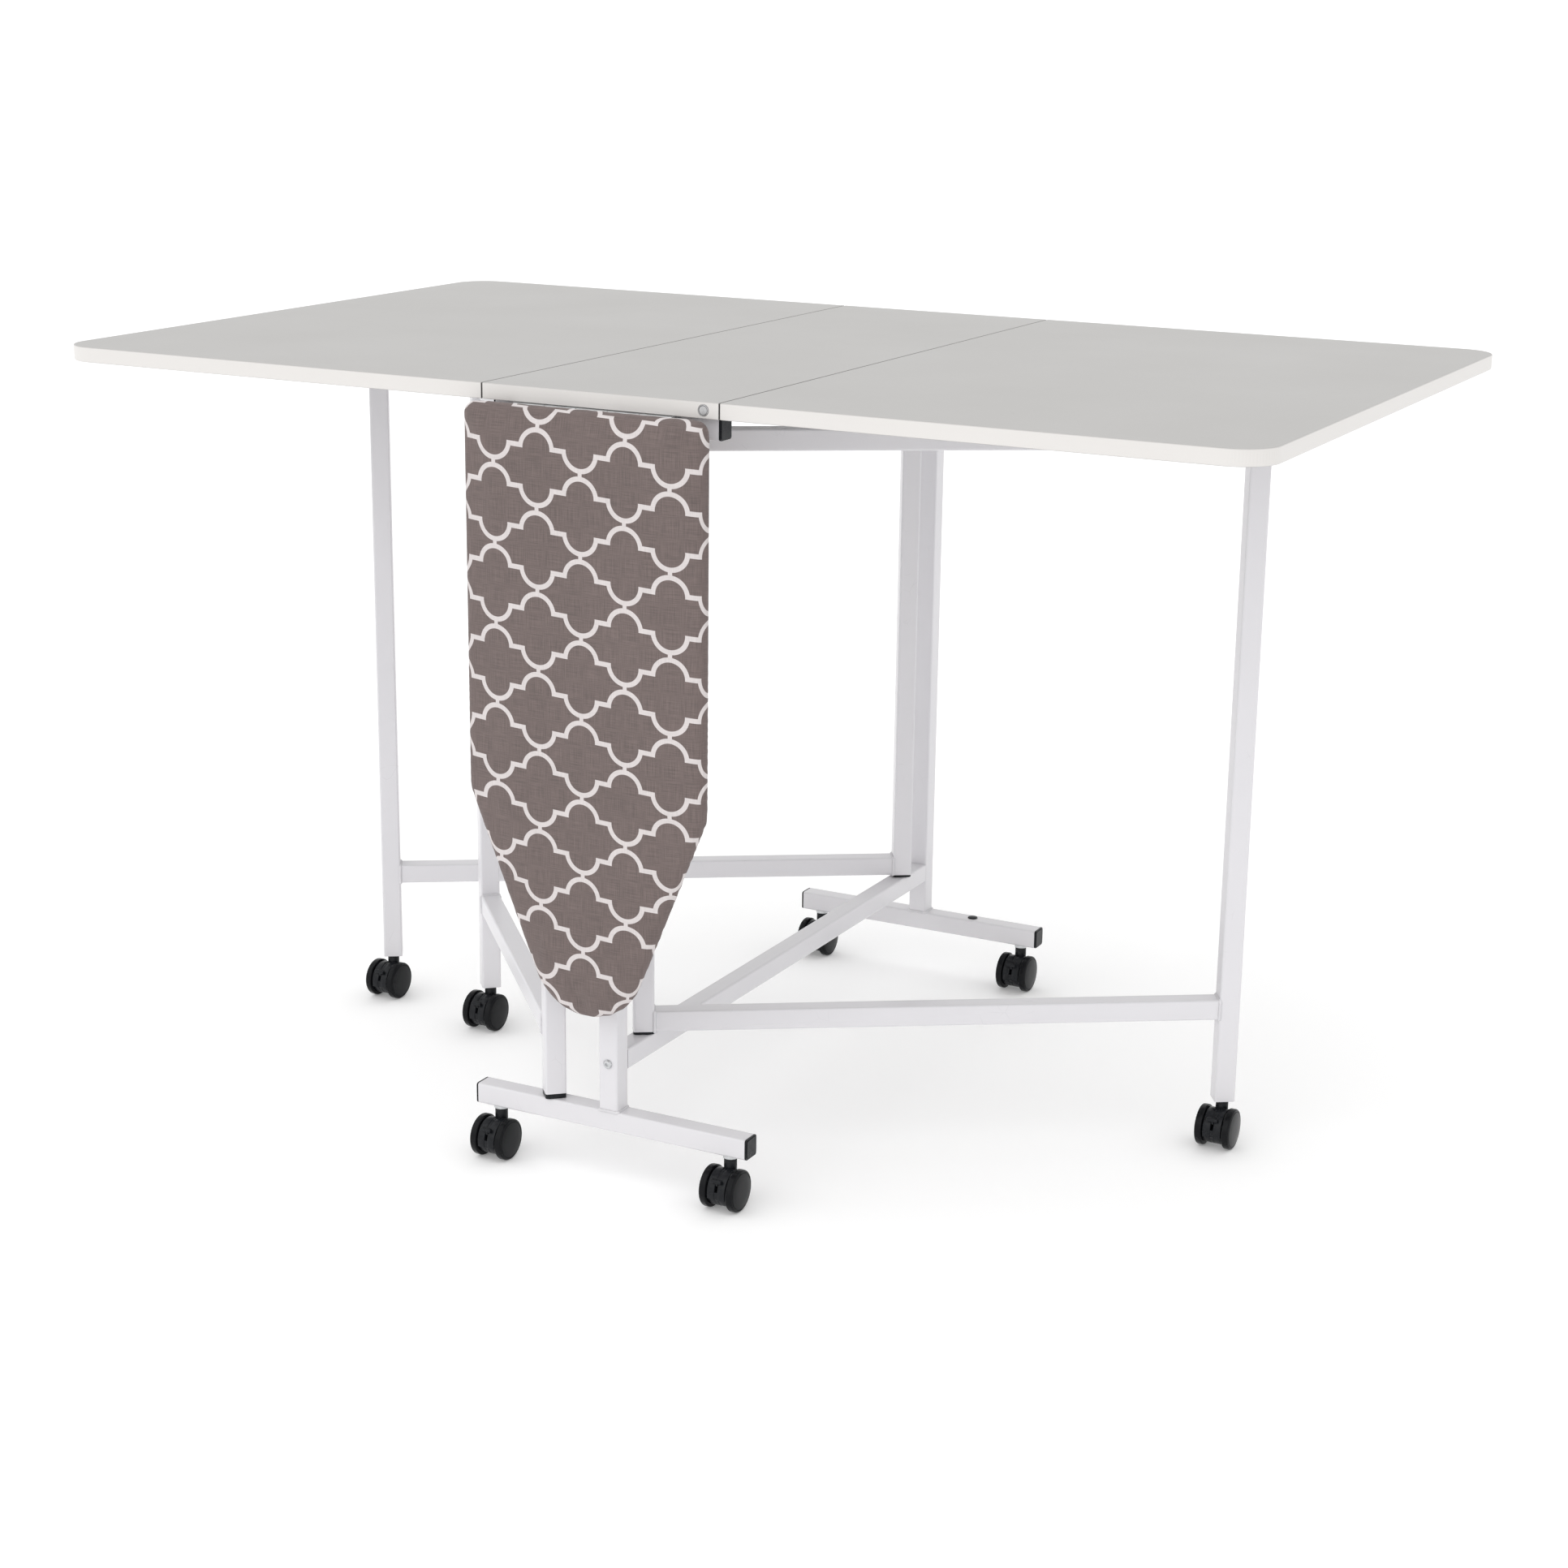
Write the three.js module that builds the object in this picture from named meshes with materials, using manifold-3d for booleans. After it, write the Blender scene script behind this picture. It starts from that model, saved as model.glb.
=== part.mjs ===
// Folding sewing table: a three-piece top on two foot frames, three swing-out gates,
// seven twin-wheel casters and an ironing board hinged to the front end.
// Units are millimetres. X runs along the top, Y to the back, Z up, with the floor at Z = 0.
import * as THREE from 'three';
import { mergeVertices } from 'three/addons/utils/BufferGeometryUtils.js';
import Module from 'manifold-3d';

const wasm = await Module();
wasm.setup();

// ---- driving dimensions -------------------------------------------------------------------------

const GAP = 0.3; // clearance between neighbouring pieces

const TOP_LENGTH = 1505;
const TOP_DEPTH = 904;
const TOP_HEIGHT = 926.5;
const BOARD_THICK = 18;
const CENTRE_WIDTH = 298; // the fixed panel between the two leaves
const SEAM = 1; // open line between the centre panel and each leaf
const CORNER_RADIUS = 45;
const EDGE_EASE = 0.8; // softened arris of the edge band
const BADGE_X = 130; // disc let into the front edge
const BADGE_RADIUS = 6.2;
const BADGE_SEAT = 1.3;

const TUBE = 25; // square steel tube
const TUBE_RADIUS = 2.5;
const FRAME_Y = 425; // centre line of each end frame, in front of and behind the middle
const FOOT_HALF = 180; // half length of a foot bar, without its caps
const RAIL_HALF = 141; // half length of a top rail, without its caps
const FOOT_Z = 63; // underside of the foot bars
const STRETCHER_Z = 134; // underside of the lower stretcher
const SOCKET_DEPTH = 20; // open tube end that takes a cap
const WALL = 1.5;
const CAP_FLANGE = 3;

const GATE_PIVOT = [-1.5, -353]; // right gate; the left gate is turned half a circle about Z
const GATE_REACH = 702.2; // pivot to the leg that carries the caster
const GATE_ANGLE = 32.7; // degrees from +X, as it stands open
const GATE_GLIDE = 3.4; // height of the plastic glide under a gate
const LEG_BOTTOM = 57;
const GATE_TOP = 875.5;

const PRESS_PIVOT = [-81, -425]; // gate that carries the raised ironing board
const PRESS_REACH = 481.4;
const PRESS_ANGLE = 132.1;
const PRESS_GLIDE = 6;
const PRESS_RAIL_Z = 162;

const PIN = 9; // pivot pins of the gates
const STEM = 9.6; // caster stems
const STEM_DEPTH = 22;

const WHEEL = 50;
const WHEEL_WIDTH = 11;
const WHEEL_OFFSET = 17.5; // each wheel's middle from the middle of the caster
const TRAIL = 13; // swivel axis to axle
const AXLE = 6;
const HOOD_WIDTH = 22.4;
const HOOD_RADIUS = 22.6;
const NECK = 15.2;
const CASTER_X = 155.5;
const LEVER_PIVOT = [-10, 33]; // from the axle's Y, and height
const LEVER_BAR = [-11, 8]; // the lever's cross bar, from its pivot

const IRON_X = -5; // ironing board, hanging: its middle, half width and top
const IRON_HALF = 150;
const IRON_TOP = 909.5;
const IRON_NOSE_RADIUS = 71.6;
const IRON_NOSE_Z = 287.6;
const IRON_TAPER = 21.9; // degrees
const IRON_SHOULDER = 50;
const IRON_CORNER = 16;
const IRON_FRONT = -486;
const PAD_THICK = 23.5;
const DECK_INSET = 4;
const DECK_THICK = 10;
const DECK_BACK = -460.3;
const IRON_HINGE = [-456.5, 906.2]; // Y and Z of its hinge line

// ---- sizes that follow from them ----------------------------------------------------------------

const UNDERSIDE = TOP_HEIGHT - BOARD_THICK;
const RAIL_TOP = UNDERSIDE - GAP;
const RAIL_BOTTOM = RAIL_TOP - TUBE;
const FOOT_TOP = FOOT_Z + TUBE;
const STRETCHER_TOP = STRETCHER_Z + TUBE;
const POST_INNER = FRAME_Y - TUBE / 2;
const SEAM_X = CENTRE_WIDTH / 2 + SEAM / 2;
const GATE_BOTTOM = STRETCHER_TOP + GATE_GLIDE;
const PRESS_BOTTOM = FOOT_TOP + PRESS_GLIDE;
const LEG_TOP = UNDERSIDE - GAP;
const AXLE_Z = WHEEL / 2;

// The part's origin is under the middle of its outline, and the ironing board stands in front.
const ORIGIN_Y = (IRON_FRONT + TOP_DEPTH / 2) / 2;

// ---- materials ----------------------------------------------------------------------------------

const material = (name, color, roughness, metalness = 0) =>
  new THREE.MeshStandardMaterial({ name, color, roughness, metalness });

const LAMINATE = material('laminate', 0xc9c8c4, 0.32);
const WHITE_STEEL = material('powder_coat', 0xe6e4e9, 0.38, 0.1);
const BLACK_PLASTIC = material('black_plastic', 0x24272a, 0.5);
const WHEEL_PLASTIC = material('wheel_plastic', 0x1d2021, 0.42);
const LEVER_PLASTIC = material('lever_plastic', 0x2e3133, 0.55);
const ZINC = material('zinc_steel', 0xb9bcc0, 0.35, 0.9);
const DECK = material('board_deck', 0xb89a73, 0.75);
const FABRIC = material('cover_fabric', 0x7a6e6b, 0.9);
const BADGE = material('badge_metal', 0xd3d4d4, 0.4, 0.6);

// ---- solids -------------------------------------------------------------------------------------

/** A closed three.js geometry as a manifold-3d solid. */
function solid(geometry) {
  const bare = geometry.index ? geometry.toNonIndexed() : geometry.clone();
  bare.deleteAttribute('normal');
  bare.deleteAttribute('uv');
  const welded = mergeVertices(bare, 1e-4);
  return new wasm.Manifold(new wasm.Mesh({
    numProp: 3,
    vertProperties: new Float32Array(welded.attributes.position.array),
    triVerts: new Uint32Array(welded.index.array),
  }));
}

/** A manifold-3d solid as a three.js geometry with flat normals. */
function geometryOf(body) {
  const mesh = body.getMesh();
  const geometry = new THREE.BufferGeometry();
  geometry.setAttribute('position', new THREE.BufferAttribute(mesh.vertProperties, 3));
  geometry.setIndex(new THREE.BufferAttribute(mesh.triVerts, 1));
  const flat = geometry.toNonIndexed();
  flat.computeVertexNormals();
  return flat;
}

/** A block between two corners. */
function block(low, high) {
  const size = high.map((value, axis) => value - low[axis]);
  const geometry = new THREE.BoxGeometry(...size);
  geometry.translate(...low.map((value, axis) => value + size[axis] / 2));
  return solid(geometry);
}

/** A rounded rectangle in the shape plane, centred. */
function roundedRect(width, height, radius) {
  const x = width / 2 - radius;
  const y = height / 2 - radius;
  const shape = new THREE.Shape();
  shape.absarc(x, y, radius, 0, Math.PI / 2);
  shape.absarc(-x, y, radius, Math.PI / 2, Math.PI);
  shape.absarc(-x, -y, radius, Math.PI, Math.PI * 1.5);
  shape.absarc(x, -y, radius, Math.PI * 1.5, Math.PI * 2);
  shape.closePath();
  return shape;
}

/** A square tube's outside along X, Y or Z, centred on the other two axes. */
function tube(axis, start, end, size = TUBE, radius = TUBE_RADIUS) {
  const geometry = new THREE.ExtrudeGeometry(roundedRect(size, size, radius), {
    depth: end - start,
    bevelEnabled: false,
    curveSegments: 2,
  });
  geometry.translate(0, 0, start);
  if (axis === 'x') geometry.rotateY(Math.PI / 2);
  if (axis === 'y') geometry.rotateX(-Math.PI / 2);
  return solid(geometry);
}

/** A round bar along X, Y or Z from start to end. */
function rod(axis, diameter, start, end, segments = 16) {
  const geometry = new THREE.CylinderGeometry(diameter / 2, diameter / 2, end - start, segments);
  geometry.translate(0, (start + end) / 2, 0);
  if (axis === 'x') geometry.rotateZ(-Math.PI / 2);
  if (axis === 'z') geometry.rotateX(Math.PI / 2);
  return solid(geometry);
}

/** A solid turned on Z from (radius, height) points that start and end on the axis. */
function turned(points, segments = 20) {
  const profile = points.map(([radius, height]) => new THREE.Vector2(radius, height));
  const geometry = new THREE.LatheGeometry(profile, segments);
  geometry.rotateX(Math.PI / 2);
  return solid(geometry);
}

const table = new THREE.Group();
table.name = 'sewing_table';
table.position.y = -ORIGIN_Y;

/** Adds one named piece at a place, turned about Z. */
function piece(name, body, look, place = [0, 0, 0], turn = 0, parent = table) {
  const mesh = new THREE.Mesh(geometryOf(body), look);
  mesh.name = name;
  mesh.position.set(...place);
  mesh.rotation.z = THREE.MathUtils.degToRad(turn);
  parent.add(mesh);
  return mesh;
}

// ---- table top ----------------------------------------------------------------------------------

/** A board whose +X corners are rounded by the given radius. */
function topBoard(width, radius) {
  const ease = EDGE_EASE;
  const x = width - ease;
  const y = TOP_DEPTH / 2 - ease;
  const shape = new THREE.Shape();
  shape.moveTo(ease, -y);
  if (radius) {
    shape.lineTo(x - radius, -y);
    shape.absarc(x - radius, -y + radius, radius, -Math.PI / 2, 0);
    shape.absarc(x - radius, y - radius, radius, 0, Math.PI / 2);
  } else {
    shape.lineTo(x, -y);
    shape.lineTo(x, y);
  }
  shape.lineTo(ease, y);
  shape.closePath();
  const geometry = new THREE.ExtrudeGeometry(shape, {
    depth: BOARD_THICK - 2 * ease,
    bevelThickness: ease,
    bevelSize: ease,
    bevelSegments: 1,
    curveSegments: 10,
  });
  geometry.translate(0, 0, ease);
  return solid(geometry);
}

function addTop() {
  const leafWidth = TOP_LENGTH / 2 - SEAM_X - SEAM / 2;
  const leaf = topBoard(leafWidth, CORNER_RADIUS);
  const pocket = rod('y', 2 * BADGE_RADIUS + 2 * GAP, -TOP_DEPTH / 2 - 1, -TOP_DEPTH / 2 + BADGE_SEAT, 32)
    .translate([BADGE_X + CENTRE_WIDTH / 2, 0, BOARD_THICK / 2]);
  const centre = topBoard(CENTRE_WIDTH, 0).subtract(pocket);
  piece('centre_panel', centre, LAMINATE, [-CENTRE_WIDTH / 2, 0, UNDERSIDE]);
  piece('right_leaf', leaf, LAMINATE, [SEAM_X + SEAM / 2, 0, UNDERSIDE]);
  piece('left_leaf', leaf, LAMINATE, [-SEAM_X - SEAM / 2, 0, UNDERSIDE], 180);
  const r = BADGE_RADIUS;
  const badge = turned([[0, 0], [r, 0], [r, 1.1], [r - 0.6, 1.6], [r - 1.2, 1.2], [0, 1.2]]);
  const disc = new THREE.Group();
  disc.position.set(BADGE_X, -TOP_DEPTH / 2 + BADGE_SEAT - GAP, TOP_HEIGHT - BOARD_THICK / 2);
  disc.rotation.x = Math.PI / 2;
  table.add(disc);
  piece('edge_badge', badge, BADGE, [0, 0, 0], 0, disc);
}

// ---- end frames and stretchers ------------------------------------------------------------------

/** A horizontal tube along X with an open socket in each end. */
function socketedBar(half) {
  const bore = TUBE - 2 * WALL;
  const bar = tube('x', -half, half);
  const left = tube('x', -half - 1, -half + SOCKET_DEPTH, bore, 1);
  const right = tube('x', half - SOCKET_DEPTH, half + 1, bore, 1);
  return bar.subtract(left).subtract(right);
}

/** A tube-end cap: flange, raised face and a ribbed plug, pointing along +X from the tube's end. */
function endCap() {
  const plug = TUBE - 2 * WALL - 2 * GAP;
  const flange = tube('x', GAP, CAP_FLANGE - 0.8, TUBE, 3);
  const face = tube('x', CAP_FLANGE - 0.9, CAP_FLANGE, TUBE - 3, 2.5);
  const shank = tube('x', -SOCKET_DEPTH + 2, GAP + 0.1, plug, 1.5);
  return flange.add(face).add(shank);
}

function addEndFrame(name, side) {
  // side is 1 for the front frame and -1 for the back one, which is the same frame turned round
  const frame = new THREE.Group();
  frame.rotation.z = side > 0 ? 0 : Math.PI;
  table.add(frame);

  let foot = socketedBar(FOOT_HALF);
  for (const x of [-CASTER_X, CASTER_X]) {
    foot = foot.subtract(rod('z', STEM + 0.8, -TUBE, STEM_DEPTH - TUBE / 2 + 1).translate([x, 0, 0]));
  }
  foot = foot.subtract(rod('z', PIN + 0.6, 0, TUBE).translate([PRESS_PIVOT[0], 0, 0]));
  piece(`${name}_foot_bar`, foot, WHITE_STEEL, [0, -FRAME_Y, FOOT_Z + TUBE / 2], 0, frame);

  const bolt = rod('y', 6.8, -TUBE, TUBE).translate([0, 0, STRETCHER_Z + TUBE / 2]);
  const post = tube('z', FOOT_TOP + GAP, RAIL_BOTTOM - GAP).subtract(bolt);
  piece(`${name}_post`, post, WHITE_STEEL, [0, -FRAME_Y, 0], 0, frame);

  const rail = socketedBar(RAIL_HALF)
    .subtract(rod('z', PIN + 0.6, -TUBE, 0).translate([PRESS_PIVOT[0], 0, 0]));
  piece(`${name}_top_rail`, rail, WHITE_STEEL, [0, -FRAME_Y, RAIL_BOTTOM + TUBE / 2], 0, frame);

  const cap = endCap();
  for (const [end, along] of [['right', side], ['left', -side]]) {
    const turn = along > 0 ? 0 : 180;
    const footPlace = [along * FOOT_HALF, -FRAME_Y, FOOT_Z + TUBE / 2];
    const railPlace = [along * RAIL_HALF, -FRAME_Y, RAIL_BOTTOM + TUBE / 2];
    piece(`${name}_foot_cap_${end}`, cap, BLACK_PLASTIC, footPlace, turn, frame);
    piece(`${name}_rail_cap_${end}`, cap, BLACK_PLASTIC, railPlace, turn, frame);
  }

  // button-head bolt through the post into the stretcher's end
  const head = turned([[0, 0], [5.6, 0], [5.6, 0.9], [4.4, 2.4], [0, 2.8]]);
  const socket = new THREE.CylinderGeometry(2.3, 2.3, 4, 6);
  socket.rotateX(Math.PI / 2);
  socket.translate(0, 0, 2.9);
  const shank = rod('z', 6, -TUBE - 24, 0.1);
  const screw = head.add(shank).subtract(solid(socket)).rotate([90, 0, 0]);
  const face = -FRAME_Y - TUBE / 2 - GAP;
  piece(`${name}_post_bolt`, screw, ZINC, [0, face, STRETCHER_Z + TUBE / 2], 0, frame);
}

function addStretchers() {
  const reach = POST_INNER - GAP;
  const pivots = [GATE_PIVOT, GATE_PIVOT.map((value) => -value)];
  let lower = tube('y', -reach, reach);
  let upper = tube('y', -reach, reach);
  for (const [x, y] of pivots) {
    lower = lower.subtract(rod('z', PIN + 0.6, -5, TUBE).translate([x, y, 0]));
    upper = upper.subtract(rod('z', PIN + 0.6, -TUBE, 5).translate([x, y, 0]));
  }
  for (const side of [-1, 1]) {
    const start = side > 0 ? reach - 26 : -reach - 1;
    lower = lower.subtract(rod('y', 6.8, start, start + 27));
  }
  piece('lower_stretcher', lower, WHITE_STEEL, [0, 0, STRETCHER_Z + TUBE / 2]);
  piece('upper_stretcher', upper, WHITE_STEEL, [0, 0, RAIL_BOTTOM + TUBE / 2]);
  const plug = turned([[0, -9], [4.2, -9], [4.2, GAP], [7, GAP], [6.4, 1.6], [4, 2.4], [0, 2.6]]);
  piece('rear_pivot_plug', plug, BLACK_PLASTIC, [-PRESS_PIVOT[0], -PRESS_PIVOT[1], FOOT_TOP]);
}

// ---- gates --------------------------------------------------------------------------------------

/** A welded gate: pivot tube at the origin, caster leg at +X, two rails, and a pin on top. */
function gateFrame(reach, bottom, railZ, legTop) {
  const bite = TUBE / 2 - 1;
  const pivotTube = tube('z', bottom, GATE_TOP);
  const leg = tube('z', LEG_BOTTOM, legTop).translate([reach, 0, 0]);
  const lowRail = tube('x', bite, reach - bite).translate([0, 0, railZ + TUBE / 2]);
  const highRail = tube('x', bite, reach - bite).translate([0, 0, GATE_TOP - TUBE / 2]);
  const pin = rod('z', PIN, GATE_TOP - 1, RAIL_BOTTOM + 10);
  const pinBore = rod('z', PIN + 0.6, bottom - 1, bottom + 16);
  const stemBore = rod('z', STEM + 0.8, LEG_BOTTOM - 1, LEG_BOTTOM + STEM_DEPTH + 1)
    .translate([reach, 0, 0]);
  return pivotTube.add(leg).add(lowRail).add(highRail).add(pin).subtract(pinBore).subtract(stemBore);
}

/** The plastic glide under a gate's pivot tube, with its pin, from the face that it slides on. */
function gateGlide(height, depth) {
  const foot = tube('z', GAP, height - GAP, TUBE, 3.5);
  const pin = rod('z', PIN, -depth, height + 12);
  return foot.add(pin);
}

function addGates() {
  const main = gateFrame(GATE_REACH, GATE_BOTTOM, GATE_BOTTOM, LEG_TOP);
  const press = gateFrame(PRESS_REACH, PRESS_BOTTOM, PRESS_RAIL_Z, LEG_TOP - 7);
  const mainGlide = gateGlide(GATE_GLIDE, 16);
  const pressGlide = gateGlide(PRESS_GLIDE, 11);
  const [x, y] = GATE_PIVOT;
  piece('right_gate', main, WHITE_STEEL, [x, y, 0], GATE_ANGLE);
  piece('left_gate', main, WHITE_STEEL, [-x, -y, 0], GATE_ANGLE + 180);
  piece('press_gate', press, WHITE_STEEL, [...PRESS_PIVOT, 0], PRESS_ANGLE);
  piece('right_gate_glide', mainGlide, BLACK_PLASTIC, [x, y, STRETCHER_TOP], GATE_ANGLE);
  piece('left_gate_glide', mainGlide, BLACK_PLASTIC, [-x, -y, STRETCHER_TOP], GATE_ANGLE + 180);
  piece('press_gate_glide', pressGlide, BLACK_PLASTIC, [...PRESS_PIVOT, FOOT_TOP], PRESS_ANGLE);
}

// ---- casters ------------------------------------------------------------------------------------

/** Two domed wheels joined by their axle along X, centred on it. */
function wheelPair() {
  const r = WHEEL / 2;
  const inner = -WHEEL_WIDTH / 2;
  const outer = WHEEL_WIDTH / 2;
  const profile = [
    [0, inner], [r - 1.6, inner], [r, inner + 1.6], [r, outer - 3.4],
    [r - 0.8, outer - 1.6], [r - 3.4, outer - 0.4], [0, outer],
  ];
  const wheel = turned(profile, 24);
  const right = wheel.rotate([0, 90, 0]).translate([WHEEL_OFFSET, 0, 0]);
  const left = wheel.rotate([0, -90, 0]).translate([-WHEEL_OFFSET, 0, 0]);
  return right.add(left).add(rod('x', AXLE, -WHEEL_OFFSET, WHEEL_OFFSET));
}

/** The caster's hood, neck and stem. Its origin is on the floor under the swivel axis. */
function casterHood(top) {
  const half = HOOD_WIDTH / 2;
  const disc = rod('x', HOOD_RADIUS * 2, -half, half, 24).translate([0, -TRAIL, AXLE_Z]);
  const back = tube('x', -half, half, 16, 4).translate([0, -0.3, AXLE_Z + 6.5]);
  const neck = rod('z', NECK, AXLE_Z + 9, top - GAP, 16);
  const stem = rod('z', STEM, top - 1, top + STEM_DEPTH - 1, 10);
  const bore = rod('x', AXLE + 0.6, -HOOD_WIDTH, HOOD_WIDTH).translate([0, -TRAIL, AXLE_Z]);
  const pivot = rod('x', 3.6, -HOOD_WIDTH, HOOD_WIDTH)
    .translate([0, LEVER_PIVOT[0] - TRAIL, LEVER_PIVOT[1]]);
  const front = -TRAIL - HOOD_RADIUS - 2;
  const slot = block([-2.2, front, AXLE_Z - 0.6], [2.2, -TRAIL - 5, AXLE_Z + 18.5]);
  return disc.add(back).add(neck).add(stem).subtract(bore).subtract(pivot).subtract(slot);
}

/** The brake lever: an arm in the hood's slot and a cross bar to step on. Same origin. */
function brakeLever() {
  const [y, z] = LEVER_PIVOT;
  const [reach, rise] = LEVER_BAR;
  const tilt = THREE.MathUtils.radToDeg(Math.atan2(rise, reach));
  const hub = rod('x', 4.6, -1.6, 1.6).add(rod('x', 3, -6.6, 6.6));
  const arm = block([-1.6, 0, -1.5], [1.6, Math.hypot(reach, rise), 1.5]).rotate([tilt, 0, 0]);
  const bar = tube('x', -6.8, 6.8, 4.6, 1).translate([0, reach, rise]);
  const rib = block([-5.6, reach - 1.2, rise + 2], [5.6, reach - 0.6, rise + 2.8]);
  return hub.add(arm).add(bar).add(rib).translate([0, y - TRAIL, z]);
}

function addCasters() {
  const footHood = casterHood(FOOT_Z);
  const legHood = casterHood(LEG_BOTTOM);
  const wheels = wheelPair();
  const lever = brakeLever();
  const along = (pivot, reach, angle) => {
    const turn = THREE.MathUtils.degToRad(angle);
    return [pivot[0] + reach * Math.cos(turn), pivot[1] + reach * Math.sin(turn)];
  };
  const [gx, gy] = along(GATE_PIVOT, GATE_REACH, GATE_ANGLE);
  const places = [
    ['front_left', -CASTER_X, -FRAME_Y, footHood],
    ['front_right', CASTER_X, -FRAME_Y, footHood],
    ['rear_left', -CASTER_X, FRAME_Y, footHood],
    ['rear_right', CASTER_X, FRAME_Y, footHood],
    ['right_gate', gx, gy, legHood],
    ['left_gate', -gx, -gy, legHood],
    ['press_gate', ...along(PRESS_PIVOT, PRESS_REACH, PRESS_ANGLE), legHood],
  ];
  for (const [name, x, y, hood] of places) {
    piece(`${name}_caster`, hood, BLACK_PLASTIC, [x, y, 0]);
    piece(`${name}_wheels`, wheels, WHEEL_PLASTIC, [x, y - TRAIL, AXLE_Z]);
    piece(`${name}_brake`, lever, LEVER_PLASTIC, [x, y, 0]);
  }
}

// ---- hinges -------------------------------------------------------------------------------------

/** Every second stretch of a hinge along X, centred: make(start, end) gives each one's solid. */
function everySecond(length, count, first, make) {
  const step = length / count;
  let all = null;
  for (let i = first; i < count; i += 2) {
    const start = -length / 2 + i * step + 0.4;
    const one = make(start, start + step - 0.8);
    all = all ? all.add(one) : one;
  }
  return all;
}

/** Every second knuckle of a hinge barrel along X. */
function knuckles(length, count, diameter, first) {
  return everySecond(length, count, first, (start, end) => rod('x', diameter, start, end, 10));
}

function addLeafHinges() {
  // a strip hinge under each seam, with its barrel on the seam line; it stops short of the
  // place where the gate's leg passes when the gate folds
  const length = 640;
  const shift = -50;
  const barrel = 5.2;
  const thick = 1.5;
  const axisZ = -GAP - thick - barrel / 2 + 1;
  const count = 7;
  for (const [side, turn] of [['right', 0], ['left', 180]]) {
    const seam = new THREE.Group();
    seam.rotation.z = THREE.MathUtils.degToRad(turn);
    table.add(seam);
    const lay = (body) => body.rotate([0, 0, 90]).translate([0, shift, 0]);
    const top = -GAP;
    const strip = (x0, x1) => block(
      [x0, -length / 2 + shift, top - thick],
      [x1, length / 2 + shift, top],
    );
    const pin = lay(rod('x', 2.2, -length / 2 + 0.4, length / 2 - 0.4, 12)).translate([0, 0, axisZ]);
    const clear = lay(rod('x', 2.8, -length / 2 - 1, length / 2 + 1, 16)).translate([0, 0, axisZ]);
    const lowFixed = lay(knuckles(length, count, barrel, 0)).translate([0, 0, axisZ]);
    const lowMoving = lay(knuckles(length, count, barrel, 1)).translate([0, 0, axisZ]);
    const room = (first) => lay(knuckles(length, count, barrel + 2, first))
      .translate([0, 0, axisZ]);
    const fixed = strip(-28, 0).subtract(room(1)).add(lowFixed).add(pin);
    const moving = strip(0.4, 28).subtract(room(0)).add(lowMoving).subtract(clear);
    piece(`${side}_hinge_fixed`, fixed, ZINC, [SEAM_X, 0, UNDERSIDE], 0, seam);
    piece(`${side}_hinge_moving`, moving, ZINC, [SEAM_X, 0, UNDERSIDE], 0, seam);
  }
}

// ---- ironing board ------------------------------------------------------------------------------

/** The ironing board's outline, X across and Y up, moved inward by inset. */
function ironOutline(inset) {
  const taper = THREE.MathUtils.degToRad(IRON_TAPER);
  const half = IRON_HALF - inset;
  const top = IRON_TOP - inset;
  const nose = IRON_NOSE_RADIUS - inset;
  const shoulder = IRON_SHOULDER - inset;
  const corner = IRON_CORNER - inset;
  const along = (half - nose * Math.cos(taper)) / Math.sin(taper);
  const meet = IRON_NOSE_Z - nose * Math.sin(taper) + along * Math.cos(taper);
  const shoulderZ = meet + shoulder * Math.tan(taper / 2);
  const shape = new THREE.Shape();
  shape.absarc(half - corner, top - corner, corner, 0, Math.PI / 2);
  shape.absarc(-half + corner, top - corner, corner, Math.PI / 2, Math.PI);
  shape.absarc(-half + shoulder, shoulderZ, shoulder, Math.PI, Math.PI + taper);
  shape.absarc(0, IRON_NOSE_Z, nose, Math.PI + taper, Math.PI * 2 - taper);
  shape.absarc(half - shoulder, shoulderZ, shoulder, -taper, 0);
  shape.closePath();
  return shape;
}

/** A plate of that outline from the front Y to the back Y, with rounded edges if bevel is set. */
function ironPlate(inset, front, back, bevel = 0) {
  const geometry = new THREE.ExtrudeGeometry(ironOutline(inset + bevel), {
    depth: back - front - 2 * bevel,
    bevelEnabled: bevel > 0,
    bevelThickness: bevel,
    bevelSize: bevel,
    bevelSegments: 2,
    curveSegments: 6,
  });
  geometry.rotateX(Math.PI / 2);
  geometry.translate(0, back - bevel, 0);
  return solid(geometry);
}

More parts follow.
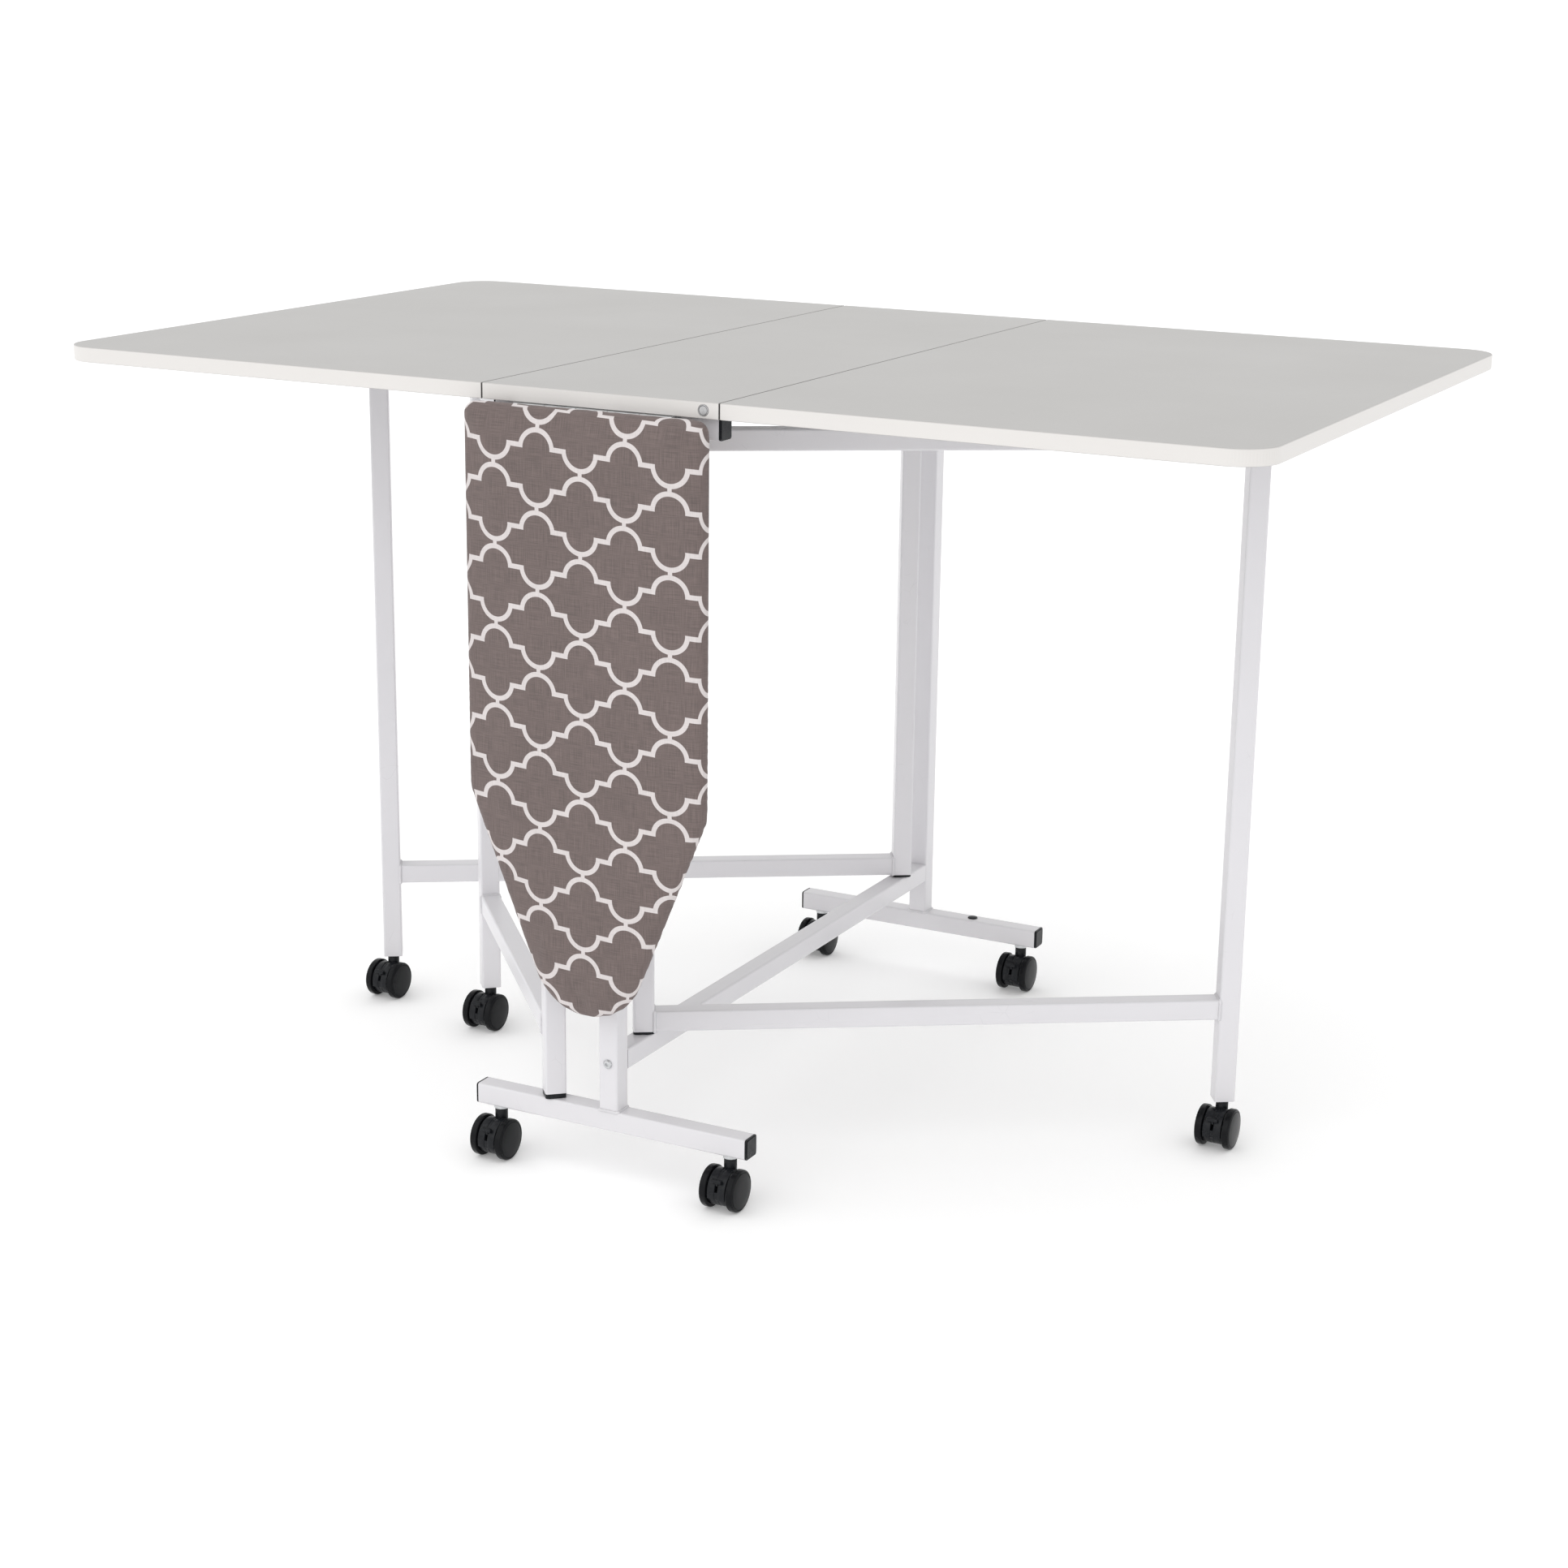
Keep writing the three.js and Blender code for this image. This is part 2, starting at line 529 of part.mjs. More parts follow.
function addIroningBoard() {
  const board = new THREE.Group();
  board.position.x = IRON_X;
  table.add(board);
  const add = (name, body, look) => piece(name, body, look, [0, 0, 0], 0, board);
  const padBack = IRON_FRONT + PAD_THICK;
  const deckFront = DECK_BACK - DECK_THICK;
  const pocket = ironPlate(DECK_INSET - GAP, deckFront - GAP, padBack + 5);
  add('ironing_deck', ironPlate(DECK_INSET, deckFront, DECK_BACK), DECK);
  add('ironing_pad', ironPlate(0, IRON_FRONT, padBack, 7).subtract(pocket), FABRIC);

  const [axisY, axisZ] = IRON_HINGE;
  const length = 200;
  const count = 5;
  const barrel = 4;
  const railFace = -FRAME_Y - TUBE / 2 - GAP;
  const set = (body) => body.translate([0, axisY, axisZ]);
  const room = (first) => set(knuckles(length, count, barrel + 1.6, first));
  const bore = set(rod('x', 2.6, -length, length, 16));
  const shelfTop = UNDERSIDE - GAP;
  const shelf = block([-length / 2, axisY + 0.5, shelfTop - 2], [length / 2, railFace, shelfTop]);
  const flange = block([-length / 2, railFace - 2, RAIL_BOTTOM + 2], [length / 2, railFace, shelfTop]);
  const fixed = shelf.add(flange).subtract(room(1)).add(set(knuckles(length, count, barrel, 0)))
    .subtract(bore);
  add('iron_hinge_fixed', fixed, ZINC);

  const leafBack = DECK_BACK + GAP;
  const leaf = block([-length / 2, leafBack, axisZ - 40], [length / 2, leafBack + 2, axisZ]);
  const moving = leaf.subtract(room(0)).add(set(knuckles(length, count, barrel, 1))).subtract(bore);
  add('iron_hinge_moving', moving, ZINC);
  add('iron_hinge_pin', set(rod('x', 2, -length / 2 - 2, length / 2 + 2, 16)), ZINC);
}

// ---- assembly -----------------------------------------------------------------------------------

addTop();
addLeafHinges();
addEndFrame('front', 1);
addEndFrame('rear', -1);
addStretchers();
addGates();
addCasters();
addIroningBoard();

export default table;
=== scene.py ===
"""Folding sewing table with a hinged ironing board: finishes and fine pieces round its CAD frame.

Everything is in metres in the table's own frame: X along the top, Y to the back, Z up from the
floor. Each operator makes one group of pieces; main() runs them in order.
"""

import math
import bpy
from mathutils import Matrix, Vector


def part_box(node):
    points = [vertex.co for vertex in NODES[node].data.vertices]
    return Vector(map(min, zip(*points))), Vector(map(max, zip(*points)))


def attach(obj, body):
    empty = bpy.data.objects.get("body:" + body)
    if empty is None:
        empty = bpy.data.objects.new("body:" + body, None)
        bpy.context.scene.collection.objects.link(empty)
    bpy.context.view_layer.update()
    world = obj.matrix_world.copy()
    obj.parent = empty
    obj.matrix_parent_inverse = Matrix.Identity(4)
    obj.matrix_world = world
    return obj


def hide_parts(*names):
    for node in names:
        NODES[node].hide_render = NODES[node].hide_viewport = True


bl_info = {
    "name": "Folding sewing table",
    "version": (1, 0, 0),
    "blender": (4, 5, 0),
    "location": "View3D > Sidebar > Sewing table",
    "description": "Finishes, casters, ironing pad and fittings of a folding sewing table",
    "category": "Add Mesh",
}

import bmesh
import bpy
import numpy as np
from mathutils import Matrix, Vector

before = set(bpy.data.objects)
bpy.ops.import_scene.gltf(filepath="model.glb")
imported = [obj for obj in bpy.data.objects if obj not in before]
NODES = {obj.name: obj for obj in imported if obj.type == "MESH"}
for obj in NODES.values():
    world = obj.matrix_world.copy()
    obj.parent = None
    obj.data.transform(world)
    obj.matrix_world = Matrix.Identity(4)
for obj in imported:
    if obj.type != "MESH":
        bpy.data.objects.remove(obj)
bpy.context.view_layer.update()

MM = 0.001
MERGE = 0.01 * MM  # points nearer than this are one
HALF_TUBE = 12.5 * MM
TRAIL = 13 * MM  # a caster's swivel axis to its axle
STEM = 21 * MM  # a caster's stem, above its neck
HINGE_SCREWS = 8  # in each plate of the top's hinges
LEAF_SEAM = 0.1495  # X of the joints between the boards
GATE_RAILS = (0.1749, 0.863)  # heights of a gate's rails where they meet its legs
PRESS_RAILS = (0.1745, 0.863)
BOARD_NOSE, BOARD_CORNER, BOARD_SHOULDER, BOARD_TAPER = 0.0676, 0.012, 0.046, 21.9
PAD_VOXEL, PAD_FRAMES = 0.005, 20
HEM_PITCH = 0.0022  # from one column of the hem's faces to the next
HEM_OUT = 0.0028  # the cover's edge outside the deck's
LEVER_PIVOT = (-10 * MM, 33 * MM)  # Y from the axle, Z from the floor
LEVER_BAR = (-11 * MM, 8 * MM)  # the lever's cross bar from its pivot
CASTERS = ("front_left", "front_right", "rear_left", "rear_right",
           "right_gate", "left_gate", "press_gate")
FOOT_CASTERS = CASTERS[:4]
GATES = ("right_gate", "left_gate", "press_gate")


# ---- sizes and colours -----------------------------------------------------------------------


def length(name, description, default, low=0.0, high=1.0):
    """A length property in metres."""
    return bpy.props.FloatProperty(
        name=name, description=description, default=default, min=low, max=high,
        subtype="DISTANCE", unit="LENGTH", precision=4)


def tint(name, description, default):
    """A colour property."""
    return bpy.props.FloatVectorProperty(
        name=name, description=description, default=default, size=3, min=0, max=1,
        subtype="COLOR")


class TableFinishes(bpy.types.PropertyGroup):
    """Colours of the boards, steel and plastics."""

    laminate: tint("Laminate", "Face of the table top", (0.395, 0.386, 0.373))
    edge_band: tint("Edge band", "Band glued round each board", (0.70, 0.68, 0.66))
    powder: tint("Powder coat", "Paint on the square steel tube", (0.70, 0.69, 0.715))
    plastic: tint("Black plastic", "Caps, glides, casters", (0.009, 0.010, 0.012))
    wheel: tint("Wheel plastic", "Caster wheels", (0.006, 0.0065, 0.0075))
    zinc: tint("Zinc plate", "Hinges, bolts and screws", (0.60, 0.61, 0.62))
    deck: tint("Board deck", "Pressed fibre deck under the pad", (0.30, 0.19, 0.105))


class CoverPrint(bpy.types.PropertyGroup):
    """The ironing cover's printed trellis, its weave and its sewing."""

    ground: tint("Ground", "Cloth between the lines", (0.140, 0.108, 0.102))
    line: tint("Line", "Printed lines", (0.63, 0.585, 0.58))
    column: length("Column spacing", "From one column of figures to the next", 0.0554)
    repeat: length("Repeat", "Height of one figure with its link", 0.0907)
    lobe: length("Lobe radius", "Middle of the line round a lobe", 0.02015)
    lobe_rise: length("Lobe rise", "Lobe's centre above the figure's middle", 0.021)
    line_width: length("Line width", "Width of the printed line", 0.0055)
    thread: length("Thread pitch", "One over-and-under of the weave", 0.0011)
    stitch: length("Stitch pitch", "From one hem stitch to the next", 0.004)
    hem: length("Hem width", "Cloth turned over the back of the deck", 0.034)


class FittingSizes(bpy.types.PropertyGroup):
    """Sizes of the small pieces."""

    bead: length("Weld bead", "Radius of the weld beads", 0.0019)
    collar: length("Collar", "Radius of the steel collar over a foot caster", 0.0086)
    screw: length("Screw head", "Radius of a countersunk screw head", 0.0036)
    pad_lift: length("Pad swell", "Most that the pad's cloth may swell", 0.0032)


def finishes():
    return bpy.context.scene.table_finishes


def cover():
    return bpy.context.scene.table_cover


def fittings():
    return bpy.context.scene.table_fittings


# ---- shader nodes ----------------------------------------------------------------------------


class Net:
    """Adds nodes to a node tree and joins them up."""

    def __init__(self, tree):
        self.tree = tree

    def node(self, kind, inputs=(), **settings):
        made = self.tree.nodes.new(kind)
        for key, value in settings.items():
            setattr(made, key, value)
        for key, value in dict(inputs).items():
            self.put(made.inputs[key], value)
        return made

    def put(self, socket, value):
        """Sets a socket to a value, or links another socket to it."""
        if isinstance(value, bpy.types.NodeSocket):
            self.tree.links.new(value, socket)
        else:
            socket.default_value = value

    def math(self, operation, *values, clamp=False):
        made = self.node("ShaderNodeMath", operation=operation, use_clamp=clamp)
        for index, value in enumerate(values):
            self.put(made.inputs[index], value)
        return made.outputs[0]

    def plus(self, first, second):
        return self.math("ADD", first, second)

    def minus(self, first, second):
        return self.math("SUBTRACT", first, second)

    def times(self, first, second):
        return self.math("MULTIPLY", first, second)

    def absolute(self, value):
        return self.math("ABSOLUTE", value)

    def distance(self, across, up):
        return self.math("SQRT", self.plus(self.times(across, across), self.times(up, up)))

    def step(self, value, low, high, start=0.0, end=1.0):
        """A smooth step of value from low to high."""
        return self.node("ShaderNodeMapRange", {
            "Value": value, "From Min": low, "From Max": high, "To Min": start, "To Max": end,
        }, interpolation_type="SMOOTHSTEP").outputs[0]

    def between(self, value, low, full, fade, high):
        """1 from full to fade, and 0 below low and above high."""
        return self.times(self.step(value, low, full), self.step(value, fade, high, 1.0, 0.0))

    def scale(self, value, low, high):
        """A value from 0 to 1 spread from low to high."""
        return self.node("ShaderNodeMapRange", {
            "Value": value, "To Min": low, "To Max": high}).outputs[0]

    def mix(self, factor, first, second):
        made = self.node("ShaderNodeMix", data_type="RGBA")
        self.put(made.inputs[0], factor)
        for socket, value in ((made.inputs[6], first), (made.inputs[7], second)):
            self.put(socket, value if isinstance(value, bpy.types.NodeSocket)
                     else (*value, 1.0))
        return made.outputs[2]

    def toned(self, factor, colour, low, high):
        """A colour from low to high times its brightness."""
        return self.mix(factor, shade(colour, low), shade(colour, high))

    def noise(self, vector, scale, detail=2.0, roughness=0.5):
        return self.node("ShaderNodeTexNoise", {
            "Vector": vector, "Scale": scale, "Detail": detail, "Roughness": roughness}).outputs[0]

    def mapped(self, vector, scale):
        return self.node("ShaderNodeMapping", {"Vector": vector, "Scale": scale}).outputs[0]

    def split(self, vector):
        made = self.node("ShaderNodeSeparateXYZ", {"Vector": vector})
        return made.outputs[0], made.outputs[1], made.outputs[2]

    def join(self, x, y, z):
        return self.node("ShaderNodeCombineXYZ", {"X": x, "Y": y, "Z": z}).outputs[0]

    def group(self, tree, **values):
        return self.node("ShaderNodeGroup", values, node_tree=tree).outputs

    def give(self, **values):
        """Ends a node group: puts those values out and returns the tree."""
        self.node("NodeGroupOutput", values)
        return self.tree

    def surface(self, colour, rough, height, depth, strength=0.5, settings=()):
        """Ends a material. depth is its bump's real height in metres, or 0 for none."""
        inputs = {"Base Color": colour, "Roughness": rough, **dict(settings)}
        if depth:
            inputs["Normal"] = self.node("ShaderNodeBump", {
                "Height": height, "Distance": depth, "Strength": strength}).outputs[0]
        for key, value in inputs.items():
            self.put(self.shader.inputs[key], value)
        return self.material


def new_tree(kind, name, inputs, outputs):
    """A node group whose inputs are {label: default}: (net, input sockets)."""
    tree = bpy.data.node_groups.new(name, kind)
    for label, default in inputs.items():
        socket = tree.interface.new_socket(
            label, in_out="INPUT", socket_type=SOCKETS.get(label, "NodeSocketFloat"))
        if default is not None:
            socket.default_value = default
    for label in outputs:
        tree.interface.new_socket(
            label, in_out="OUTPUT", socket_type=SOCKETS.get(label, "NodeSocketFloat"))
    net = Net(tree)
    return net, net.node("NodeGroupInput").outputs


def once(build):
    """Builds the node tree named like the function once, and finds it by name after that."""
    name = build.__name__
    return lambda: bpy.data.node_groups.get(name) or build(name)


def shade(colour, factor):
    return tuple(min(1.0, c * factor) for c in colour)


SOCKETS = {"Vector": "NodeSocketVector", "Geometry": "NodeSocketGeometry",
           "Material": "NodeSocketMaterial"}
SHADER, GEOMETRY = "ShaderNodeTree", "GeometryNodeTree"


@once
def fine_grain(name):
    """Fine surface grain over a slow unevenness, for paint, plastic and laminate."""
    net, given = new_tree(SHADER, name, {"Vector": None, "Grain": 600.0, "Patch": 9.0},
                          ("Tone", "Height", "Patches"))
    place = given["Vector"]
    fine = net.noise(place, given["Grain"], 3.0, 0.6)
    speck = net.noise(place, net.times(given["Grain"], 0.23))
    return net.give(Tone=net.plus(net.times(fine, 0.45), net.times(speck, 0.55)), Height=fine,
                    Patches=net.noise(place, given["Patch"], 4.0, 0.55))


@once
def scuffs(name):
    """Thin scuffs, where a slow noise lets them through."""
    net, given = new_tree(SHADER, name, {"Vector": None, "Size": 70.0, "Amount": 0.2}, ("Mask",))
    cells = net.node("ShaderNodeTexVoronoi", {
        "Vector": given["Vector"], "Scale": given["Size"]}, feature="DISTANCE_TO_EDGE")
    line = net.step(cells.outputs[0], 0.0, 0.018, 1.0, 0.0)
    patch = net.step(net.noise(given["Vector"], 26.0, 3.0), 0.56, 0.72)
    return net.give(Mask=net.math(
        "MULTIPLY", net.times(line, patch), given["Amount"], clamp=True))


@once
def plain_weave(name):
    """Plain weave seen from one side: threads over and under each other."""
    net, given = new_tree(SHADER, name, {"Across": 0.0, "Up": 0.0, "Pitch": 0.001},
                          ("Height", "Thread"))
    across, up = (net.math("DIVIDE", given[way], given["Pitch"]) for way in ("Across", "Up"))
    warp, weft = (net.math("SINE", net.times(way, 2 * math.pi)) for way in (across, up))
    place = net.join(across, up, 0.0)
    slubs = [net.noise(net.mapped(place, scale), 0.9)
             for scale in ((2.0, 0.05, 1.0), (0.05, 2.0, 1.0))]
    return net.give(Height=net.math("MULTIPLY_ADD", net.times(warp, weft), 0.5, 0.5),
                    Thread=net.step(net.plus(*slubs), 0.78, 1.22))


@once
def trellis_print(name):
    """Printed trellis: columns of lobed figures, every second column half a figure lower."""
    net, given = new_tree(SHADER, name, {
        "Across": 0.0, "Up": 0.0, "Column": 0.055, "Repeat": 0.09, "Lobe": 0.02, "Rise": 0.021,
        "Width": 0.005}, ("Mask",))
    column, repeat, lobe, rise = (given[k] for k in ("Column", "Repeat", "Lobe", "Rise"))
    half = net.times(given["Width"], 0.5)
    soft = 0.0002

    def folded(value, period):
        """Distance from the nearest multiple of period."""
        share = net.math("DIVIDE", value, period)
        return net.times(net.absolute(net.minus(share, net.math("ROUND", share))), period)

    def inside(distance, limit):
        """1 where distance is under limit, with a soft edge."""
        return net.step(net.minus(distance, limit), -soft, soft, 1.0, 0.0)

    u, v = folded(given["Across"], net.times(column, 2.0)), folded(given["Up"], repeat)
    other = net.math("GREATER_THAN", u, net.times(column, 0.5))

    def turned(value, whole):
        """value, or whole - value in every second column."""
        return net.plus(value, net.times(net.minus(whole, net.times(value, 2.0)), other))

    u, v = turned(u, column), turned(v, net.times(repeat, 0.5))
    quarter = net.times(repeat, 0.25)
    radius = net.distance(u, net.minus(v, rise))
    above = net.step(net.minus(v, net.minus(quarter, half)), -soft, soft)
    ring = net.times(inside(net.absolute(net.minus(radius, lobe)), half), above)
    level = inside(net.absolute(net.minus(v, quarter)), half)
    ledge = net.times(level, net.step(net.minus(u, net.minus(lobe, half)), -soft, soft))
    link = net.times(inside(u, net.times(half, 0.9)),
                     net.step(net.minus(v, net.plus(rise, lobe)), 0.0, 0.001))
    return net.give(Mask=net.math("MAXIMUM", net.math("MAXIMUM", ring, ledge), link))


# ---- materials -------------------------------------------------------------------------------


def new_material(name):
    """A material with a Principled BSDF: (net, object coordinates)."""
    material = bpy.data.materials.new(name)
    material.use_nodes = True
    material.node_tree.nodes.clear()
    net = Net(material.node_tree)
    net.material = material
    net.shader = net.node("ShaderNodeBsdfPrincipled")
    net.node("ShaderNodeOutputMaterial", {"Surface": net.shader.outputs[0]})
    return net, net.node("ShaderNodeTexCoord").outputs["Object"]


def pearl_laminate(name):
    """Pale laminate with a fine pearl texture, and its white band round the edge."""
    colours = finishes()
    net, place = new_material(name)
    grain = net.group(fine_grain(), Vector=place, Grain=750.0, Patch=5.0)
    low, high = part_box("centre_panel")
    x, _, up = net.split(place)
    face = net.step(up, high.z - 0.00045, high.z - 0.0002)
    under = net.step(up, low.z + 0.0002, low.z + 0.00045, 1.0, 0.0)
    tone = net.plus(net.times(grain["Tone"], 0.55), net.times(grain["Patches"], 0.45))
    plain = net.toned(tone, colours.laminate, 0.955, 1.045)
    band = net.toned(grain["Patches"], colours.edge_band, 0.97, 1.0)
    seam = net.between(up, *(high.z - below for below in (0.0011, 0.0008, 0.0006, 0.0003)))
    band = net.mix(net.times(seam, 0.35), band, shade(colours.laminate, 0.75))
    colour = net.mix(net.math("MAXIMUM", face, under), band, plain)
    # A dark line along each joint between the boards: partly the board's brown core, partly
    # painted shade in the gap and on its eased arrises.
    joint_core_and_shade = net.absolute(net.minus(net.absolute(x), (high.x - low.x) / 2 + 0.0005))
    colour = net.mix(net.step(joint_core_and_shade, 0.0009, 0.0013, 0.86, 0.0), colour, (0.05, 0.048, 0.045))
    wear = net.group(scuffs(), Vector=place, Size=9.0, Amount=0.5)["Mask"]
    rough = net.plus(net.scale(grain["Patches"], 0.30, 0.42), net.times(wear, 0.06))
    return net.surface(colour, rough, grain["Height"], 0.00004)


def white_powder_coat(name):
    """White powder coat with its fine orange peel."""
    colour = finishes().powder
    net, place = new_material(name)
    grain = net.group(fine_grain(), Vector=place, Grain=420.0, Patch=7.0)
    tone = net.toned(grain["Patches"], colour, 0.955, 1.03)
    worn = net.group(scuffs(), Vector=place, Size=45.0, Amount=0.35)["Mask"]
    dusty = net.times(net.step(net.split(place)[2], 0.05, 0.22, 1.0, 0.0),
                      net.scale(grain["Patches"], 0.05, 0.16))
    marked = net.mix(worn, tone, shade(colour, 0.72))
    return net.surface(net.mix(dusty, marked, (0.55, 0.53, 0.51)),
                       net.scale(grain["Tone"], 0.24, 0.40), grain["Height"], 0.00012, 0.35,
                       {"Coat Weight": 0.25, "Coat Roughness": 0.18})


def plastic(name, colour, rough, grain_size, depth, shine):
    """Moulded black plastic with a spark-eroded grain and paler rubbed marks."""
    net, place = new_material(name)
    grain = net.group(fine_grain(), Vector=place, Grain=grain_size, Patch=60.0)
    rubbed = net.group(scuffs(), Vector=place, Size=150.0, Amount=0.55)["Mask"]
    tone = net.toned(grain["Tone"], colour, 0.75, 1.35)
    return net.surface(net.mix(rubbed, tone, shade(colour, 4.5)),
                       net.plus(net.scale(grain["Patches"], *rough), net.times(rubbed, 0.15)),
                       grain["Height"], depth, settings={"Specular IOR Level": shine})


def moulded_black(name):
    return plastic(name, finishes().plastic, (0.22, 0.34), 900.0, 0.00006, 0.20)


def wheel_black(name):
    return plastic(name, finishes().wheel, (0.14, 0.26), 700.0, 0.00003, 0.12)


def zinc_plate(name):
    """Zinc-plated steel with faint spangle and a brushed lay."""
    net, place = new_material(name)
    cells = net.node("ShaderNodeTexVoronoi", {"Vector": place, "Scale": 260.0})
    spangle = net.split(cells.outputs["Color"])[0]
    brushed = net.noise(net.mapped(place, (60.0, 1500.0, 1500.0)), 1.0, 3.0, 0.6)
    tone = net.plus(net.times(spangle, 0.4), net.times(brushed, 0.6))
    return net.surface(net.toned(tone, finishes().zinc, 0.82, 1.12),
                       net.scale(tone, 0.26, 0.44), brushed, 0.00003, 0.4, {"Metallic": 1.0})


def spun_disc(name):
    """Spun aluminium disc: fine rings round its middle."""
    net, place = new_material(name)
    low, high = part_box("edge_badge")
    middle = (low + high) / 2
    x, _, z = net.split(place)
    radius = net.distance(net.minus(x, middle.x), net.minus(z, middle.z))
    rings = net.math("SINE", net.times(radius, 26000.0))
    tone = net.plus(net.times(rings, 0.25), net.noise(place, 900.0, 3.0))
    # A dark ring about 5 mm from the middle: painted shade standing for a groove.
    painted_groove_shade = net.between(radius, 0.0045, 0.0048, 0.0052, 0.0055)
    plain = net.mix(tone, (0.42, 0.42, 0.43), (0.62, 0.62, 0.62))
    return net.surface(net.mix(painted_groove_shade, plain, (0.12, 0.12, 0.12)), net.scale(tone, 0.28, 0.42),
                       rings, 0.00002, settings={"Metallic": 1.0})


def pressed_fibre(name):
    """Pressed fibre board: short flecks over a warm brown."""
    net, place = new_material(name)
    fleck = net.node("ShaderNodeTexVoronoi", {
        "Vector": net.mapped(place, (1.0, 1.0, 0.45)), "Scale": 340.0})
    grain = net.group(fine_grain(), Vector=place, Grain=500.0, Patch=14.0)
    tone = net.plus(net.times(fleck.outputs["Distance"], 0.6), net.times(grain["Patches"], 0.5))
    return net.surface(net.toned(tone, finishes().deck, 0.62, 1.4),
                       net.scale(grain["Tone"], 0.62, 0.82), tone, 0.0002)


def trellis_cover(name):
    """Cotton cover: plain weave, printed trellis. The print leans a little across the board."""
    look = cover()
    net, place = new_material(name)
    low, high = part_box("ironing_pad")
    x, y, z = net.split(place)
    # Cloth that wraps an edge keeps its pattern running, so depth adds to the distance across
    # at the sides and to the height along the top.
    depth = net.math("MAXIMUM", net.minus(y, low.y + 0.006), 0.0)
    over = net.step(z, high.z - 0.009, high.z - 0.004)
    side = net.times(net.math("SIGN", net.minus(x, (low.x + high.x) / 2)), net.minus(1.0, over))
    across = net.plus(x, net.times(depth, side))
    lean = net.math("MULTIPLY_ADD", x, 0.0566, net.math("MULTIPLY_ADD", depth, over, z))
    mask = net.group(
        trellis_print(), Across=net.plus(across, 0.0025),
        Up=net.minus(lean, high.z - 0.2499 + look.repeat / 2),
        Column=look.column, Repeat=look.repeat, Lobe=look.lobe, Rise=look.lobe_rise,
        Width=look.line_width)["Mask"]
    weave = net.group(plain_weave(), Across=across, Up=z, Pitch=look.thread)
    fade = net.noise(place, 16.0, 4.0, 0.6)
    tone = net.plus(net.times(weave["Thread"], 0.6),
                    net.plus(net.times(weave["Height"], 0.2), net.times(fade, 0.25)))
    colour = net.mix(mask, net.toned(tone, look.ground, 0.62, 1.42),
                     net.toned(tone, look.line, 0.88, 1.08))
    relief = net.plus(net.times(weave["Height"], 0.7), net.times(fade, 0.5))
    return net.surface(colour, net.scale(weave["Thread"], 0.72, 0.92), relief, 0.00018, 0.6,
                       {"Sheen Weight": 0.15, "Sheen Roughness": 0.4})


MATERIALS = {make.__name__: make for make in (
    pearl_laminate, white_powder_coat, moulded_black, wheel_black, zinc_plate, spun_disc,
    pressed_fibre, trellis_cover)}


def finish_named(name):
    """The material of that name, made the first time it is asked for."""
    return bpy.data.materials.get(name) or MATERIALS[name](name)


def paint(obj, *names):
    """Gives an object those materials."""
    obj.data.materials.clear()
    for name in names:
        obj.data.materials.append(finish_named(name))
    return obj


def soften(obj, width, segments=2):
    """Joins a CAD node's loose triangles and rounds its sharp arrises a little."""
    obj.modifiers.new("join", "WELD").merge_threshold = MERGE
    bevel = obj.modifiers.new("arris", "BEVEL")
    bevel.width = width
    bevel.segments = segments
    bevel.limit_method = "ANGLE"
    bevel.angle_limit = math.radians(50)
    bevel.use_clamp_overlap = True
    bevel.harden_normals = True
    return obj


# ---- meshes ----------------------------------------------------------------------------------


def add_object(name, data):
    """A new object at the origin, linked into the scene."""
    made = bpy.data.objects.new(name, data)
    bpy.context.scene.collection.objects.link(made)
    return made


def object_from(bm, name, *materials):
    """A new object at the origin from a bmesh, its doubles merged and its faces outward."""
    bmesh.ops.remove_doubles(bm, verts=bm.verts, dist=MERGE)
    bmesh.ops.recalc_face_normals(bm, faces=bm.faces)
    mesh = bpy.data.meshes.new(name)
    bm.to_mesh(mesh)
    bm.free()
    return paint(add_object(name, mesh), *materials)


def positions(obj):
    """The mesh's points as an array of rows."""
    found = np.empty(len(obj.data.vertices) * 3, np.float64)
    obj.data.vertices.foreach_get("co", found)
    return found.reshape(-1, 3)


def move_points(obj, points):
    obj.data.vertices.foreach_set("co", points.astype(np.float32).ravel())
    obj.data.update()


def all_smooth(obj):
    for polygon in obj.data.polygons:
        polygon.use_smooth = True


def apply_modifiers(obj):
    """Turns the object's modified shape into its mesh."""
    result = obj.evaluated_get(bpy.context.evaluated_depsgraph_get())
    mesh = bpy.data.meshes.new_from_object(result)
    obj.modifiers.clear()
    obj.data = mesh


def smooth(obj, angle=38):
    """Smooth shading that keeps edges sharper than the angle."""
    mesh = obj.data
    bm = bmesh.new()
    bm.from_mesh(mesh)
    limit = math.radians(angle)
    for face in bm.faces:
        face.smooth = True
    for edge in bm.edges:
        edge.smooth = not (len(edge.link_faces) == 2 and edge.calc_face_angle() > limit)
    bm.to_mesh(mesh)
    bm.free()
    return obj


def circle(radius, height, segments, place):
    """Points round Z at that height, moved by place."""
    turns = (2 * math.pi * i / segments for i in range(segments))
    return [place @ Vector((radius * math.cos(t), radius * math.sin(t), height)) for t in turns]


def spin(bm, profile, place, segments):
    """Turns a closed (radius, height) profile about Z and puts it at a place (a Matrix)."""
    rings = [[bm.verts.new(p) for p in (
        [place @ Vector((0, 0, height))] if radius < 1e-9
        else circle(radius, height, segments, place))] for radius, height in profile]
    pairs = list(zip(rings, rings[1:]))
    if len(rings[0]) > 1:
        pairs.append((rings[-1], rings[0]))
    for first, second in pairs:
        for i in range(segments if len(first) > 1 or len(second) > 1 else 0):
            j = (i + 1) % segments
            if len(first) == 1:
                bm.faces.new((first[0], second[i], second[j]))
            elif len(second) == 1:
                bm.faces.new((first[i], second[0], first[j]))
            else:
                bm.faces.new((first[i], second[i], second[j], first[j]))


